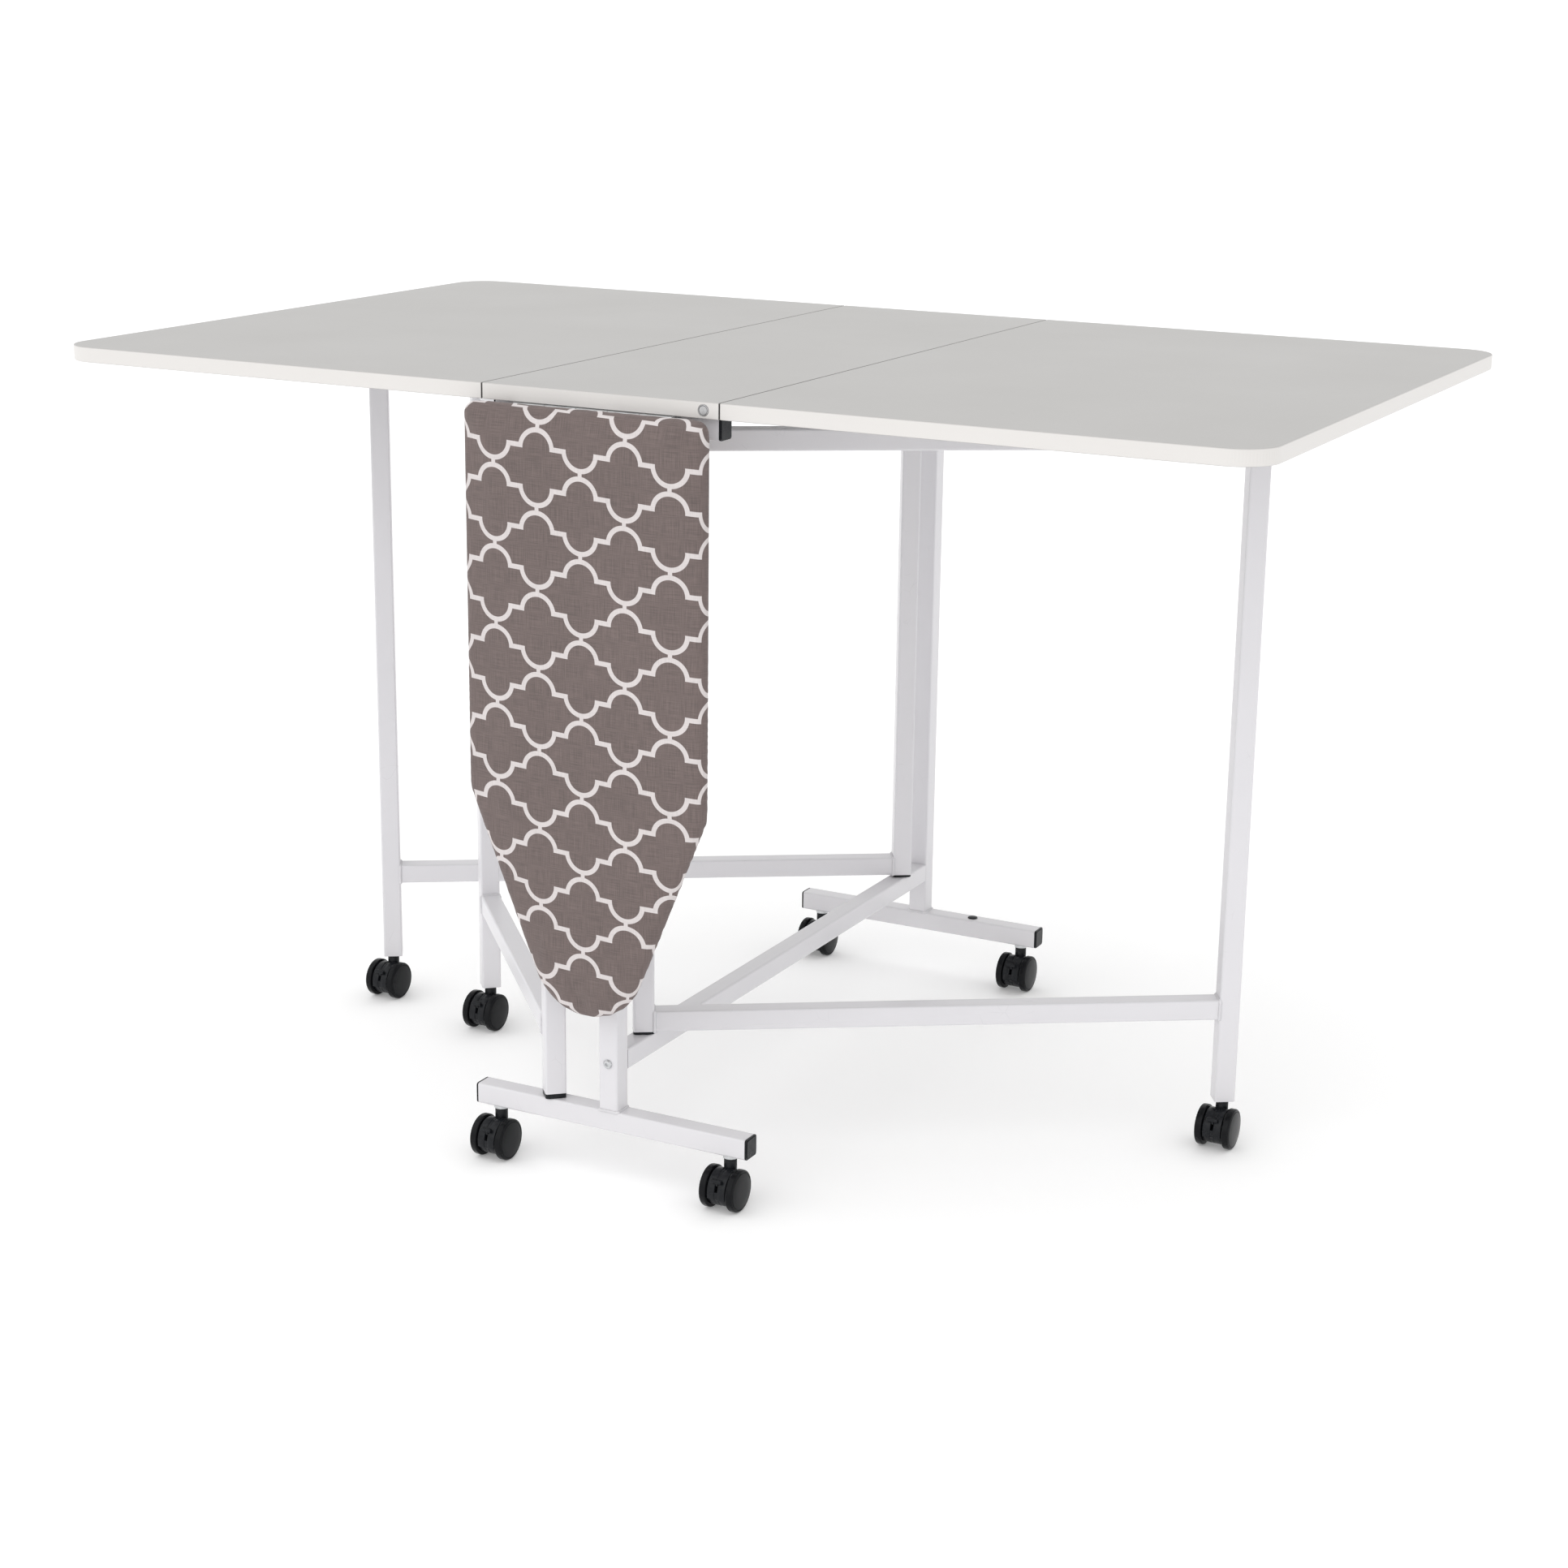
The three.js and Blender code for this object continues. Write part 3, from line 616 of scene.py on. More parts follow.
def outline_prism(bm, points, start, end, ease, place):
    """A plate with that outline from start to end along Z, its rims eased, at a place."""
    count = len(points)
    rings = []
    middle = Vector((sum(p[0] for p in points) / count, sum(p[1] for p in points) / count))
    for inset, height in ((ease, start), (ease * 0.3, start + ease * 0.3), (0, start + ease),
                          (0, end - ease), (ease * 0.3, end - ease * 0.3), (ease, end)):
        ring = []
        for k in range(count):
            a, b, c = (Vector(points[(k + d) % count]) for d in (-1, 0, 1))
            along = (c - a).normalized()
            normal = Vector((-along.y, along.x))
            if normal.dot(middle - b) < 0:
                normal = -normal
            p = b + normal * inset
            ring.append(bm.verts.new(place @ Vector((p.x, p.y, height))))
        rings.append(ring)
    for first, second in zip(rings, rings[1:]):
        for i in range(count):
            j = (i + 1) % count
            bm.faces.new((first[i], first[j], second[j], second[i]))
    for ring in (rings[0], rings[-1]):
        bm.faces.new(ring)


def arc(x, y, radius, start, end, steps):
    """Points on an arc in degrees, both ends included."""
    return [(x + radius * math.cos(math.radians(start + (end - start) * i / steps)),
             y + radius * math.sin(math.radians(start + (end - start) * i / steps)))
            for i in range(steps + 1)]


def rounded_box(bm, low, high, radius, steps=3):
    """A block with all edges rounded."""
    made = bmesh.ops.create_cube(bm, size=1.0)["verts"]
    size, middle = Vector(high) - Vector(low), (Vector(high) + Vector(low)) / 2
    for vert in made:
        vert.co = Vector((vert.co.x * size.x, vert.co.y * size.y, vert.co.z * size.z)) + middle
    edges = list({edge for vert in made for edge in vert.link_edges})
    bmesh.ops.bevel(bm, geom=edges, offset=radius, segments=steps, profile=0.5,
                    affect="EDGES", clamp_overlap=True)


# ---- casters ---------------------------------------------------------------------------------


def sideways(x, y, z, sign=1):
    """Place whose Z axis runs along +X or -X."""
    return Matrix.Translation((x, y, z)) @ Matrix.Rotation(math.radians(90 * sign), 4, "Y")


def caster_facts(name):
    """Where a caster's parts are: swivel axis, axle and the top of its neck."""
    low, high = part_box(f"{name}_wheels")
    hood_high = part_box(f"{name}_caster")[1]
    axle = (low + high) / 2
    return {
        "x": axle.x, "axle_y": axle.y, "axle_z": axle.z, "radius": (high.z - low.z) / 2,
        "half": (high.x - low.x) / 2, "swivel_y": axle.y + TRAIL,
        "neck_top": hood_high.z - STEM,
    }


def upright(x):
    """Place that lays an outline in the (Y, Z) plane at x."""
    return Matrix(((0, 0, 1, x), (1, 0, 0, 0), (0, 1, 0, 0), (0, 0, 0, 1)))


def rod(bm, radius, half, place, segments):
    """A plain rod along the place's Z, as long on both sides."""
    spin(bm, [(0, -half), (radius, -half), (radius, half), (0, half)], place, segments)


def stand_in(bm, name, node, finish, angle):
    """Ends a piece that stands for a CAD node and rides on that node's body."""
    made = smooth(object_from(bm, name, finish), angle)
    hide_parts(node)
    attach(made, f"{node}_body")


def wheel_profile(r, inner, outer):
    """Section of one wheel from its inner face to its domed outer face."""
    return [
        (0.0, inner), (r - 0.0062, inner), (r - 0.0056, inner + 0.0007),
        (r - 0.0018, inner + 0.0007), (r - 0.0006, inner + 0.0011), (r, inner + 0.0020),
        (r, outer - 0.0036), (r - 0.0003, outer - 0.0026), (r - 0.0010, outer - 0.0018),
        (r - 0.0020, outer - 0.0014), (r - 0.0026, outer - 0.0013), (r - 0.0029, outer - 0.0018),
        (r - 0.0034, outer - 0.0018), (r - 0.0038, outer - 0.0011), (r - 0.0072, outer - 0.0006),
        (r - 0.0130, outer - 0.0002), (0.0050, outer), (0.0, outer),
    ]


def make_wheels(name):
    """Two wheels on their axle."""
    facts = caster_facts(name)
    bm = bmesh.new()
    inner = facts["half"] - 11 * MM
    for sign in (1, -1):
        place = sideways(facts["x"], facts["axle_y"], facts["axle_z"], sign)
        spin(bm, wheel_profile(facts["radius"], inner, facts["half"]), place, 56)
    axle = sideways(facts["x"], facts["axle_y"], facts["axle_z"])
    rod(bm, 0.003, inner + 0.001, axle, 20)
    stand_in(bm, f"{name}_twin_wheels", f"{name}_wheels", "wheel_black", 32)


def make_hood(name):
    """Hood that fills the gap between the wheels, with its lever slot and round neck."""
    facts = caster_facts(name)
    x, ay, az, sy = facts["x"], facts["axle_y"], facts["axle_z"], facts["swivel_y"]
    radius, half, slot_half = facts["radius"] - 2.0 * MM, 11.4 * MM, 1.9 * MM
    bm = bmesh.new()
    # The outline runs in the (Y, Z) plane: round the axle, with a step low at the front, then
    # up behind the neck. The spine has a notch for the lever.
    back_y, step = sy + 7.4 * MM, 197
    below = arc(ay, az, radius - 0.0024, step + 2, 310, 22)
    behind = [(back_y - 0.0022, az + 0.0005), (back_y, az + 0.0040), (back_y, az + 0.0105),
              (back_y - 0.0012, az + 0.0140)]
    whole = arc(ay, az, radius, 55, step, 32) + below + behind
    for start, end in ((-half, -slot_half), (slot_half, half)):
        outline_prism(bm, whole, start, end, 0.0006, upright(x))
    inner = radius - 0.0005
    notched = (arc(ay, az, inner, 55, 136, 18)
               + [(ay - 0.0085, az + 0.0118), (ay - 0.0085, az + 0.0024)]
               + arc(ay, az, inner, 174, step, 3) + below[1:] + behind)
    outline_prism(bm, notched, -slot_half - 0.0002, slot_half + 0.0002, 0.0001, upright(x))
    neck = [(0, az + 0.008), (0.0076, az + 0.008), (0.0076, facts["neck_top"] - 0.0011),
            (0.0072, facts["neck_top"] - 0.0003), (0, facts["neck_top"] - 0.0003)]
    spin(bm, neck, Matrix.Translation((x, sy, 0)), 40)
    for sign in (1, -1):
        spin(bm, [(0, 0), (0.0062, 0), (0.0062, half + 0.0003), (0.0055, half + 0.0005),
                  (0, half + 0.0005)], sideways(x, ay, az, sign), 28)
    stand_in(bm, f"{name}_hood", f"{name}_caster", "moulded_black", 34)


def make_lever(name):
    """Brake lever: arm, hub and a ribbed cross bar."""
    facts = caster_facts(name)
    x, pivot_y, pivot_z = facts["x"], facts["axle_y"] + LEVER_PIVOT[0], LEVER_PIVOT[1]
    bar_y, bar_z = pivot_y + LEVER_BAR[0], pivot_z + LEVER_BAR[1]
    bm = bmesh.new()
    arm = [(pivot_y + 0.0022, pivot_z - 0.0012), (pivot_y + 0.0022, pivot_z + 0.0012),
           (pivot_y, pivot_z + 0.0024), (bar_y + 0.0020, bar_z + 0.0012),
           (bar_y, bar_z - 0.0010), (pivot_y - 0.0100, pivot_z + 0.0015),
           (pivot_y, pivot_z - 0.0022)]
    outline_prism(bm, arm, -0.0014, 0.0014, 0.0003, upright(x))
    rod(bm, 0.0014, 0.0055, sideways(x, pivot_y, pivot_z), 16)
    rounded_box(bm, (x - 0.0068, bar_y - 0.0026, bar_z - 0.0022),
                (x + 0.0068, bar_y + 0.0023, bar_z + 0.0022), 0.0008)
    for k in range(3):
        y = bar_y - 0.0014 + 0.0013 * k
        rounded_box(bm, (x - 0.0056, y - 0.0003, bar_z + 0.0019),
                    (x + 0.0056, y + 0.0003, bar_z + 0.0026), 0.00015, steps=2)
    stand_in(bm, f"{name}_lever", f"{name}_brake", "moulded_black", 34)


def make_collars():
    """Bright steel collars between the foot bars and the casters' necks."""
    radius = fittings().collar
    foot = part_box("front_foot_bar")[0].z
    bm = bmesh.new()
    for name in FOOT_CASTERS:
        facts = caster_facts(name)
        spin(bm, [(0.0078, foot - 0.0050), (radius - 0.0004, foot - 0.0050),
                  (radius, foot - 0.0046), (radius, foot - 0.0004), (radius - 0.0003, foot),
                  (0.0078, foot)],
             Matrix.Translation((facts["x"], facts["swivel_y"], 0)), 40)
    made = smooth(object_from(bm, "caster_collars", "zinc_plate"))
    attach(made, "frame")


# ---- pieces that repeat: geometry nodes -------------------------------------------------------


def geometry_tree(name, inputs):
    """A tree that turns points or a curve into painted geometry: (net, input sockets)."""
    return new_tree(GEOMETRY, name, {"Geometry": None, **inputs, "Material": None},
                    ("Geometry",))


def place_points(name, places):
    """Points that carry a turn each, as a mesh the trees set their copies on."""
    mesh = bpy.data.meshes.new(name)
    mesh.from_pydata([tuple(p) for p, _ in places], [], [])
    turn = mesh.attributes.new("turn", "FLOAT_VECTOR", "POINT")
    turn.data.foreach_set("vector", [a for _, angles in places for a in angles])
    return add_object(name, mesh)


def set_copies(net, given, points, piece, rotation, shaded=False):
    """Ends a tree: copies piece to the points, realized, shaded smooth if asked, painted."""
    made = net.node("GeometryNodeInstanceOnPoints", {
        "Points": points, "Instance": piece, "Rotation": rotation}).outputs[0]
    made = net.node("GeometryNodeRealizeInstances", {0: made}).outputs[0]
    if shaded:
        made = net.node("GeometryNodeSetShadeSmooth", {"Geometry": made}).outputs[0]
    return net.give(Geometry=net.node("GeometryNodeSetMaterial", {
        "Geometry": made, "Material": given["Material"]}).outputs[0])


def turn_of_point(net):
    """The rotation that place_points stored on each point."""
    angles = net.node("GeometryNodeInputNamedAttribute", {"Name": "turn"},
                      data_type="FLOAT_VECTOR").outputs[0]
    return net.node("FunctionNodeEulerToRotation", {0: angles}).outputs[0]


def bake_tree(carrier, tree, name, material, **values):
    """Runs a tree on the carrier, keeps the result as a plain mesh and drops the carrier."""
    modifier = carrier.modifiers.new("made", "NODES")
    modifier.node_group = tree
    values["Material"] = finish_named(material)
    for item in tree.interface.items_tree:
        if item.in_out == "INPUT" and item.name in values:
            modifier[item.identifier] = values[item.name]
    carrier.update_tag()
    bpy.context.view_layer.update()
    result = carrier.evaluated_get(bpy.context.evaluated_depsgraph_get())
    mesh = bpy.data.meshes.new_from_object(result)
    carrier.modifiers.remove(modifier)
    bpy.data.objects.remove(carrier)
    mesh.name = name
    if not mesh.polygons:
        raise RuntimeError(f"{name} came out empty")
    return paint(add_object(name, mesh), material)


@once
def weld_beads(name):
    """Weld bead round a square tube: a rounded square path with rippled bead."""
    net, given = geometry_tree(name, {"Tube": 0.025, "Bead": 0.0019, "Ripple": 0.00045})
    square = net.node("GeometryNodeCurvePrimitiveQuadrilateral", {
        "Width": given["Tube"], "Height": given["Tube"]})
    eased = net.node("GeometryNodeFilletCurve", {
        "Curve": square.outputs[0], "Radius": 0.0025, "Count": 4}, mode="POLY")
    even = net.node("GeometryNodeResampleCurve", {"Curve": eased.outputs[0], "Count": 96})
    ring = net.node("GeometryNodeCurvePrimitiveCircle", {
        "Resolution": 10, "Radius": given["Bead"]})
    bead = net.node("GeometryNodeCurveToMesh", {
        "Curve": even.outputs[0], "Profile Curve": ring.outputs[0]})
    x, y, _ = net.split(net.node("GeometryNodeInputPosition").outputs[0])
    swing = net.times(net.plus(x, net.times(y, 1.37)), 2600.0)
    ripple = net.times(net.math("SINE", swing), given["Ripple"])
    normal = net.node("GeometryNodeInputNormal").outputs[0]
    push = net.node("ShaderNodeVectorMath", {0: normal, "Scale": ripple}, operation="SCALE")
    rough = net.node("GeometryNodeSetPosition", {
        "Geometry": bead.outputs[0], "Offset": push.outputs[0]})
    shaded = net.node("GeometryNodeSetShadeSmooth", {"Geometry": rough.outputs[0]})
    return set_copies(net, given, given["Geometry"], shaded.outputs[0], turn_of_point(net))


@once
def screw_heads(name):
    """Countersunk screw head with a cross recess."""
    net, given = geometry_tree(name, {"Radius": 0.0036, "Rise": 0.0011})
    radius, rise = given["Radius"], given["Rise"]
    dome = net.node("GeometryNodeMeshUVSphere", {"Segments": 24, "Rings": 12, "Radius": radius})
    pressed = net.node("GeometryNodeTransform", {
        "Geometry": dome.outputs[0],
        "Scale": net.join(1.0, 1.0, net.math("DIVIDE", rise, radius))})
    x, y, z = net.split(net.node("GeometryNodeInputPosition").outputs[0])
    sides = net.absolute(x), net.absolute(y)
    near = net.math("LESS_THAN", net.math("MINIMUM", *sides), net.times(radius, 0.17))
    within = net.math("LESS_THAN", net.math("MAXIMUM", *sides), net.times(radius, 0.62))
    recess = net.times(net.times(near, within), net.math("GREATER_THAN", z, 0.0))
    drop = net.join(0.0, 0.0, net.times(recess, net.times(rise, -0.6)))
    recessed = net.node("GeometryNodeSetPosition", {
        "Geometry": pressed.outputs[0], "Offset": drop})
    return set_copies(net, given, given["Geometry"], recessed.outputs[0], turn_of_point(net))


@once
def hem_stitches(name):
    """Stitches along a curve: short rounded threads laid end to end."""
    net, given = geometry_tree(name, {"Pitch": 0.004, "Thread": 0.00042})
    points = net.node("GeometryNodeCurveToPoints", {
        "Curve": given["Geometry"], "Length": given["Pitch"]}, mode="LENGTH").outputs
    ball = net.node("GeometryNodeMeshIcoSphere", {"Radius": given["Thread"], "Subdivisions": 2})
    long_side = net.math("DIVIDE", net.times(given["Pitch"], 0.36), given["Thread"])
    thread = net.node("GeometryNodeTransform", {
        "Geometry": ball.outputs[0], "Scale": net.join(1.0, 1.0, long_side)})
    return set_copies(net, given, points["Points"], thread.outputs[0], points["Rotation"], True)


# ---- places of the welds and screws -----------------------------------------------------------


def gate_facts(name):
    """A gate's pivot, its leg and its angle, from the boxes of its glide and caster."""
    low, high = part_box(f"{name}_glide")
    pivot = (low + high) / 2
    facts = caster_facts(name)
    leg = Vector((facts["x"], facts["swivel_y"], 0))
    angle = math.atan2(leg.y - pivot.y, leg.x - pivot.x)
    return pivot, leg, angle


def bead_places():
    """Body to list of (place, turn) for every weld."""
    foot_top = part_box("front_foot_bar")[1].z
    rail_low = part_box("front_top_rail")[0].z
    found = {"frame": []}
    for side in ("front", "rear"):
        low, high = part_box(f"{side}_post")
        x, y = (low.x + high.x) / 2, (low.y + high.y) / 2
        found["frame"] += [((x, y, foot_top), (0, 0, 0)), ((x, y, rail_low), (0, 0, 0))]
    low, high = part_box("upper_stretcher")
    for y in (low.y, high.y):
        found["frame"].append((((low.x + high.x) / 2, y, (low.z + high.z) / 2),
                               (math.pi / 2, 0, 0)))
    for name in GATES:
        pivot, leg, angle = gate_facts(name)
        reach = (leg.xy - pivot.xy).length
        rows = []
        for z in PRESS_RAILS if name == "press_gate" else GATE_RAILS:
            for along in (HALF_TUBE, reach - HALF_TUBE):
                spot = (pivot.x + along * math.cos(angle), pivot.y + along * math.sin(angle), z)
                rows.append((spot, (math.pi / 2, 0, angle + math.pi / 2)))
        found[f"{name}_body"] = rows
    return found


def make_beads():
    size = fittings().bead
    for body, places in bead_places().items():
        name = f"{body.replace('_body', '')}_weld_beads"
        made = bake_tree(place_points(f"{name}_points", places), weld_beads(), name,
                         "white_powder_coat", Bead=size)
        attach(made, body)


def screw_places():
    """Body to list of (place, turn) for every screw head: hinge leaves and board hinge."""
    down = (math.pi, 0, 0)
    found = {"frame": [], "right_leaf_body": [], "left_leaf_body": [], "board_body": []}
    for side in ("right", "left"):
        for kind, body in (("fixed", "frame"), ("moving", f"{side}_leaf_body")):
            low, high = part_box(f"{side}_hinge_{kind}")
            seam = LEAF_SEAM if side == "right" else -LEAF_SEAM
            outward = 1 if (side == "right") == (kind == "moving") else -1
            x = seam + outward * 0.018
            plate = high.z - 0.0015
            for k in range(HINGE_SCREWS):
                y = low.y + (high.y - low.y) * (k + 0.5) / HINGE_SCREWS
                found[body].append(((x, y, plate), down))
    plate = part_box("ironing_deck")[1].y + 0.0023
    for x in (-0.085, -0.045, 0.0, 0.045, 0.085):
        found["board_body"].append((
            (board_middle() + x, plate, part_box("iron_hinge_moving")[0].z + 0.011),
            (-math.pi / 2, 0, 0)))
    return found


def board_middle():
    """X of the ironing board's middle line."""
    low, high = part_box("ironing_deck")
    return (low.x + high.x) / 2


def make_screws():
    radius = fittings().screw
    for body, places in screw_places().items():
        name = f"{body.replace('_body', '')}_screws"
        made = bake_tree(place_points(f"{name}_points", places), screw_heads(), name,
                         "zinc_plate", Radius=radius)
        smooth(made, 60)
        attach(made, body)


# ---- ironing board ---------------------------------------------------------------------------


def joined_copy(node, name):
    """A copy of a CAD node with its loose triangles joined."""
    mesh = NODES[node].data.copy()
    mesh.name = name
    bm = bmesh.new()
    bm.from_mesh(mesh)
    bmesh.ops.remove_doubles(bm, verts=bm.verts, dist=MERGE)
    bm.to_mesh(mesh)
    bm.free()
    return add_object(name, mesh)


def swell(obj, frames, most):
    """Blows the cloth up round the foam and stops each point after the given distance."""
    rest = positions(obj)
    back = rest[:, 1].max()
    pins = obj.vertex_groups.new(name="held")
    held = [int(i) for i in np.nonzero(rest[:, 1] > back - 0.011)[0]]
    pins.add(held, 1.0, "REPLACE")
    cloth = obj.modifiers.new("cloth", "CLOTH")
    for key, value in {
            "use_pressure": True, "uniform_pressure_force": 4.0, "vertex_group_mass": pins.name,
            "tension_stiffness": 25.0, "compression_stiffness": 10.0, "quality": 5}.items():
        setattr(cloth.settings, key, value)
    cloth.settings.effector_weights.gravity = 0.0
    cloth.point_cache.frame_start = 1
    cloth.point_cache.frame_end = frames
    scene = bpy.context.scene
    for number in range(1, frames + 1):
        scene.frame_set(number)
    apply_modifiers(obj)
    scene.frame_set(1)
    shift = positions(obj) - rest
    far = np.linalg.norm(shift, axis=1)
    keep = most * np.tanh(far / most) / np.maximum(far, 1e-9)
    move_points(obj, rest + shift * keep[:, None])


def make_pad():
    """Foam pad in its cotton cover, swollen from a slightly smaller copy of its CAD solid."""
    low, high = (np.array(corner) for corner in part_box("ironing_pad"))
    swell_by = fittings().pad_lift
    pad = joined_copy("ironing_pad", "ironing_cover")
    middle, size = (low + high) / 2, high - low
    middle[1] = high[1]
    smaller = (size - np.array([2, 1, 2]) * swell_by * 0.55) / size
    move_points(pad, (positions(pad) - middle) * smaller + middle)
    remesh = pad.modifiers.new("even", "REMESH")
    remesh.mode = "VOXEL"
    remesh.voxel_size = PAD_VOXEL
    apply_modifiers(pad)
    swell(pad, PAD_FRAMES, swell_by)
    relax(pad, 3)
    finer = pad.modifiers.new("finer", "SUBSURF")
    finer.levels = finer.render_levels = 1
    apply_modifiers(pad)
    all_smooth(pad)
    ripple(pad)
    points = positions(pad)
    least, most = points.min(0), points.max(0)
    ends = low - (0.0045, 0.0012, 0), high + (0.0015, 0, 0)
    move_points(pad, ends[0] + (points - least) / (most - least) * (ends[1] - ends[0]))
    paint(pad, "trellis_cover")
    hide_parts("ironing_pad")
    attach(pad, "board_body")


def relax(obj, rounds):
    """Evens out the small steps that the remesh leaves."""
    bm = bmesh.new()
    bm.from_mesh(obj.data)
    for _ in range(rounds):
        bmesh.ops.smooth_vert(bm, verts=bm.verts, factor=0.5, use_axis_x=True,
                              use_axis_y=True, use_axis_z=True)
    bm.to_mesh(obj.data)
    bm.free()


def ripple(obj):
    """Slack in the cover: slow waves on its face and short puckers along its turned edge."""
    points = positions(obj)
    low, high = points.min(0), points.max(0)
    x, y, z = points.T
    depth = (y - low[1]) / (high[1] - low[1])
    face = np.clip(1 - depth * 3.2, 0, 1)
    slow = (np.sin(z * 21 + 5 * x) * np.cos(x * 17 - 0.6) * 0.5
            + np.sin(z * 47 - x * 31 + 1.3) * 0.22)
    points[:, 1] += face * slow * 0.0006
    edge = np.clip((depth - 0.35) / 0.5, 0, 1) * np.clip((1.02 - depth) / 0.25, 0, 1)
    angle = np.arctan2(z - (low[2] + high[2]) / 2, x - (low[0] + high[0]) / 2)
    taper = np.clip((0.52 - (z - low[2])) / 0.2, 0.35, 1)
    pucker = np.sin(angle * 96 + 1.7 * np.sin(angle * 17)) * edge * taper * 0.00045
    out = np.stack([np.cos(angle), np.sin(angle)], 1)
    points[:, 0] += out[:, 0] * pucker
    points[:, 2] += out[:, 1] * pucker
    move_points(obj, points)


def board_outline(inset):
    """The deck's outline as (x, z) points, moved inward by inset: built from its box and the
    board's given sizes.
    """
    low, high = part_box("ironing_deck")
    half, top = (high.x - low.x) / 2 - inset, high.z - inset
    nose, nose_z = BOARD_NOSE - inset, low.z + BOARD_NOSE
    corner, shoulder = max(BOARD_CORNER - inset, 0.006), max(BOARD_SHOULDER - inset, 0.012)
    taper = BOARD_TAPER
    sin_t, cos_t = math.sin(math.radians(taper)), math.cos(math.radians(taper))
    meet = nose_z - nose * sin_t + (half - nose * cos_t) / sin_t * cos_t
    bend = meet + shoulder * math.tan(math.radians(taper / 2))
    found = (arc(half - corner, top - corner, corner, 0, 90, 10)
             + arc(-half + corner, top - corner, corner, 90, 180, 10)
             + arc(-half + shoulder, bend, shoulder, 180, 180 + taper, 6)
             + arc(0, nose_z, nose, 180 + taper, 360 - taper, 24)
             + arc(half - shoulder, bend, shoulder, -taper, 0, 6))
    return [(board_middle() + x, z) for x, z in found]


def even_loop(points, pitch):
    """Points spaced evenly round a closed outline."""
    ring = np.array(points + [points[0]], float)
    reach = np.concatenate([[0], np.cumsum(np.linalg.norm(np.diff(ring, axis=0), axis=1))])
    count = int(round(reach[-1] / pitch))
    at = np.linspace(0, reach[-1], count, endpoint=False)
    return np.stack([np.interp(at, reach, ring[:, k]) for k in (0, 1)], 1)


def make_hem():
    """Cover turned over the back of the deck and drawn in by its elastic."""
    look = cover()
    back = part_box("ironing_deck")[1].y
    edge = even_loop(board_outline(-HEM_OUT), HEM_PITCH)
    count = len(edge)
    ahead, behind = np.roll(edge, -1, 0), np.roll(edge, 1, 0)
    along = ahead - behind
    along /= np.linalg.norm(along, axis=1)[:, None]
    inward = np.stack([-along[:, 1], along[:, 0]], 1)
    steps = 12
    hinge_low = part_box("iron_hinge_moving")[0]
    rows = []
    walk = np.arange(count) * HEM_PITCH
    for k in range(steps + 1):
        t = k / steps
        pucker = (np.sin(walk * 430 + 2.1 * np.sin(walk * 37))
                  + 0.5 * np.sin(walk * 771 + 1.1)) * 0.0005 * t
        reach = 0.0006 + look.hem * t
        spots = edge + inward * reach
        level = back + 0.0007 + 0.0011 * min(1.0, t * 4) + np.abs(pucker)
        level = level - 0.0105 * max(0.0, 1 - t * 7) ** 2
        level = level + 0.0016 * math.exp(-((t - 0.93) / 0.06) ** 2)
        rows.append(np.column_stack([spots[:, 0], level, spots[:, 1]]))
    bm = bmesh.new()
    grid = [[bm.verts.new(p) for p in row] for row in rows]
    near_hinge = [
        edge[i, 1] > hinge_low.z and abs(edge[i, 0] - board_middle()) < 0.106
        for i in range(count)]
    for k in range(steps):
        for i in range(count):
            j = (i + 1) % count
            if near_hinge[i] and near_hinge[j] and k > 0:
                continue
            bm.faces.new((grid[k][i], grid[k][j], grid[k + 1][j], grid[k + 1][i]))
    loose = [v for v in bm.verts if not v.link_faces]
    bmesh.ops.delete(bm, geom=loose, context="VERTS")
    made = object_from(bm, "cover_hem", "trellis_cover")
    if made.data.polygons[0].normal.y < 0:
        made.data.flip_normals()
    thick = made.modifiers.new("cloth_thickness", "SOLIDIFY")
    thick.thickness = 0.0009
    thick.offset = 1.0
    apply_modifiers(made)
    all_smooth(made)
    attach(made, "board_body")


def make_hem_stitches():
    """Line of stitches round the hem, outside the elastic."""
    look = cover()
    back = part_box("ironing_deck")[1].y
    edge = even_loop(board_outline(look.hem * 0.80 - HEM_OUT), look.stitch)
    hinge_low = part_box("iron_hinge_moving")[0]
    curve = bpy.data.curves.new("hem_line", "CURVE")
    curve.dimensions = "3D"
    spline = curve.splines.new("POLY")
    kept = [p for p in edge
            if not (p[1] > hinge_low.z - 0.034 and abs(p[0] - board_middle()) < 0.112)]
    start = max(range(len(kept)), key=lambda i: float(np.hypot(*(
        kept[i] - kept[i - 1]))))
    kept = kept[start:] + kept[:start]
    spline.points.add(len(kept) - 1)
    for point, (x, z) in zip(spline.points, kept):
        point.co = (x, back + 0.0030, z, 1)
    made = bake_tree(add_object("hem_line", curve), hem_stitches(), "hem_stitches",
                     "trellis_cover", Pitch=look.stitch)
    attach(made, "board_body")


# ---- operators -------------------------------------------------------------------------------


class TABLE_OT_top(bpy.types.Operator):
    """Paint the three boards of the top and the badge on their edge"""

    bl_idname = "table.top"
    bl_label = "Table top"

    def execute(self, context):
        for name in ("centre_panel", "right_leaf", "left_leaf"):
            paint(soften(NODES[name], 0.0003, 1), "pearl_laminate")
        paint(soften(NODES["edge_badge"], 0.0002), "spun_disc")
        return {"FINISHED"}


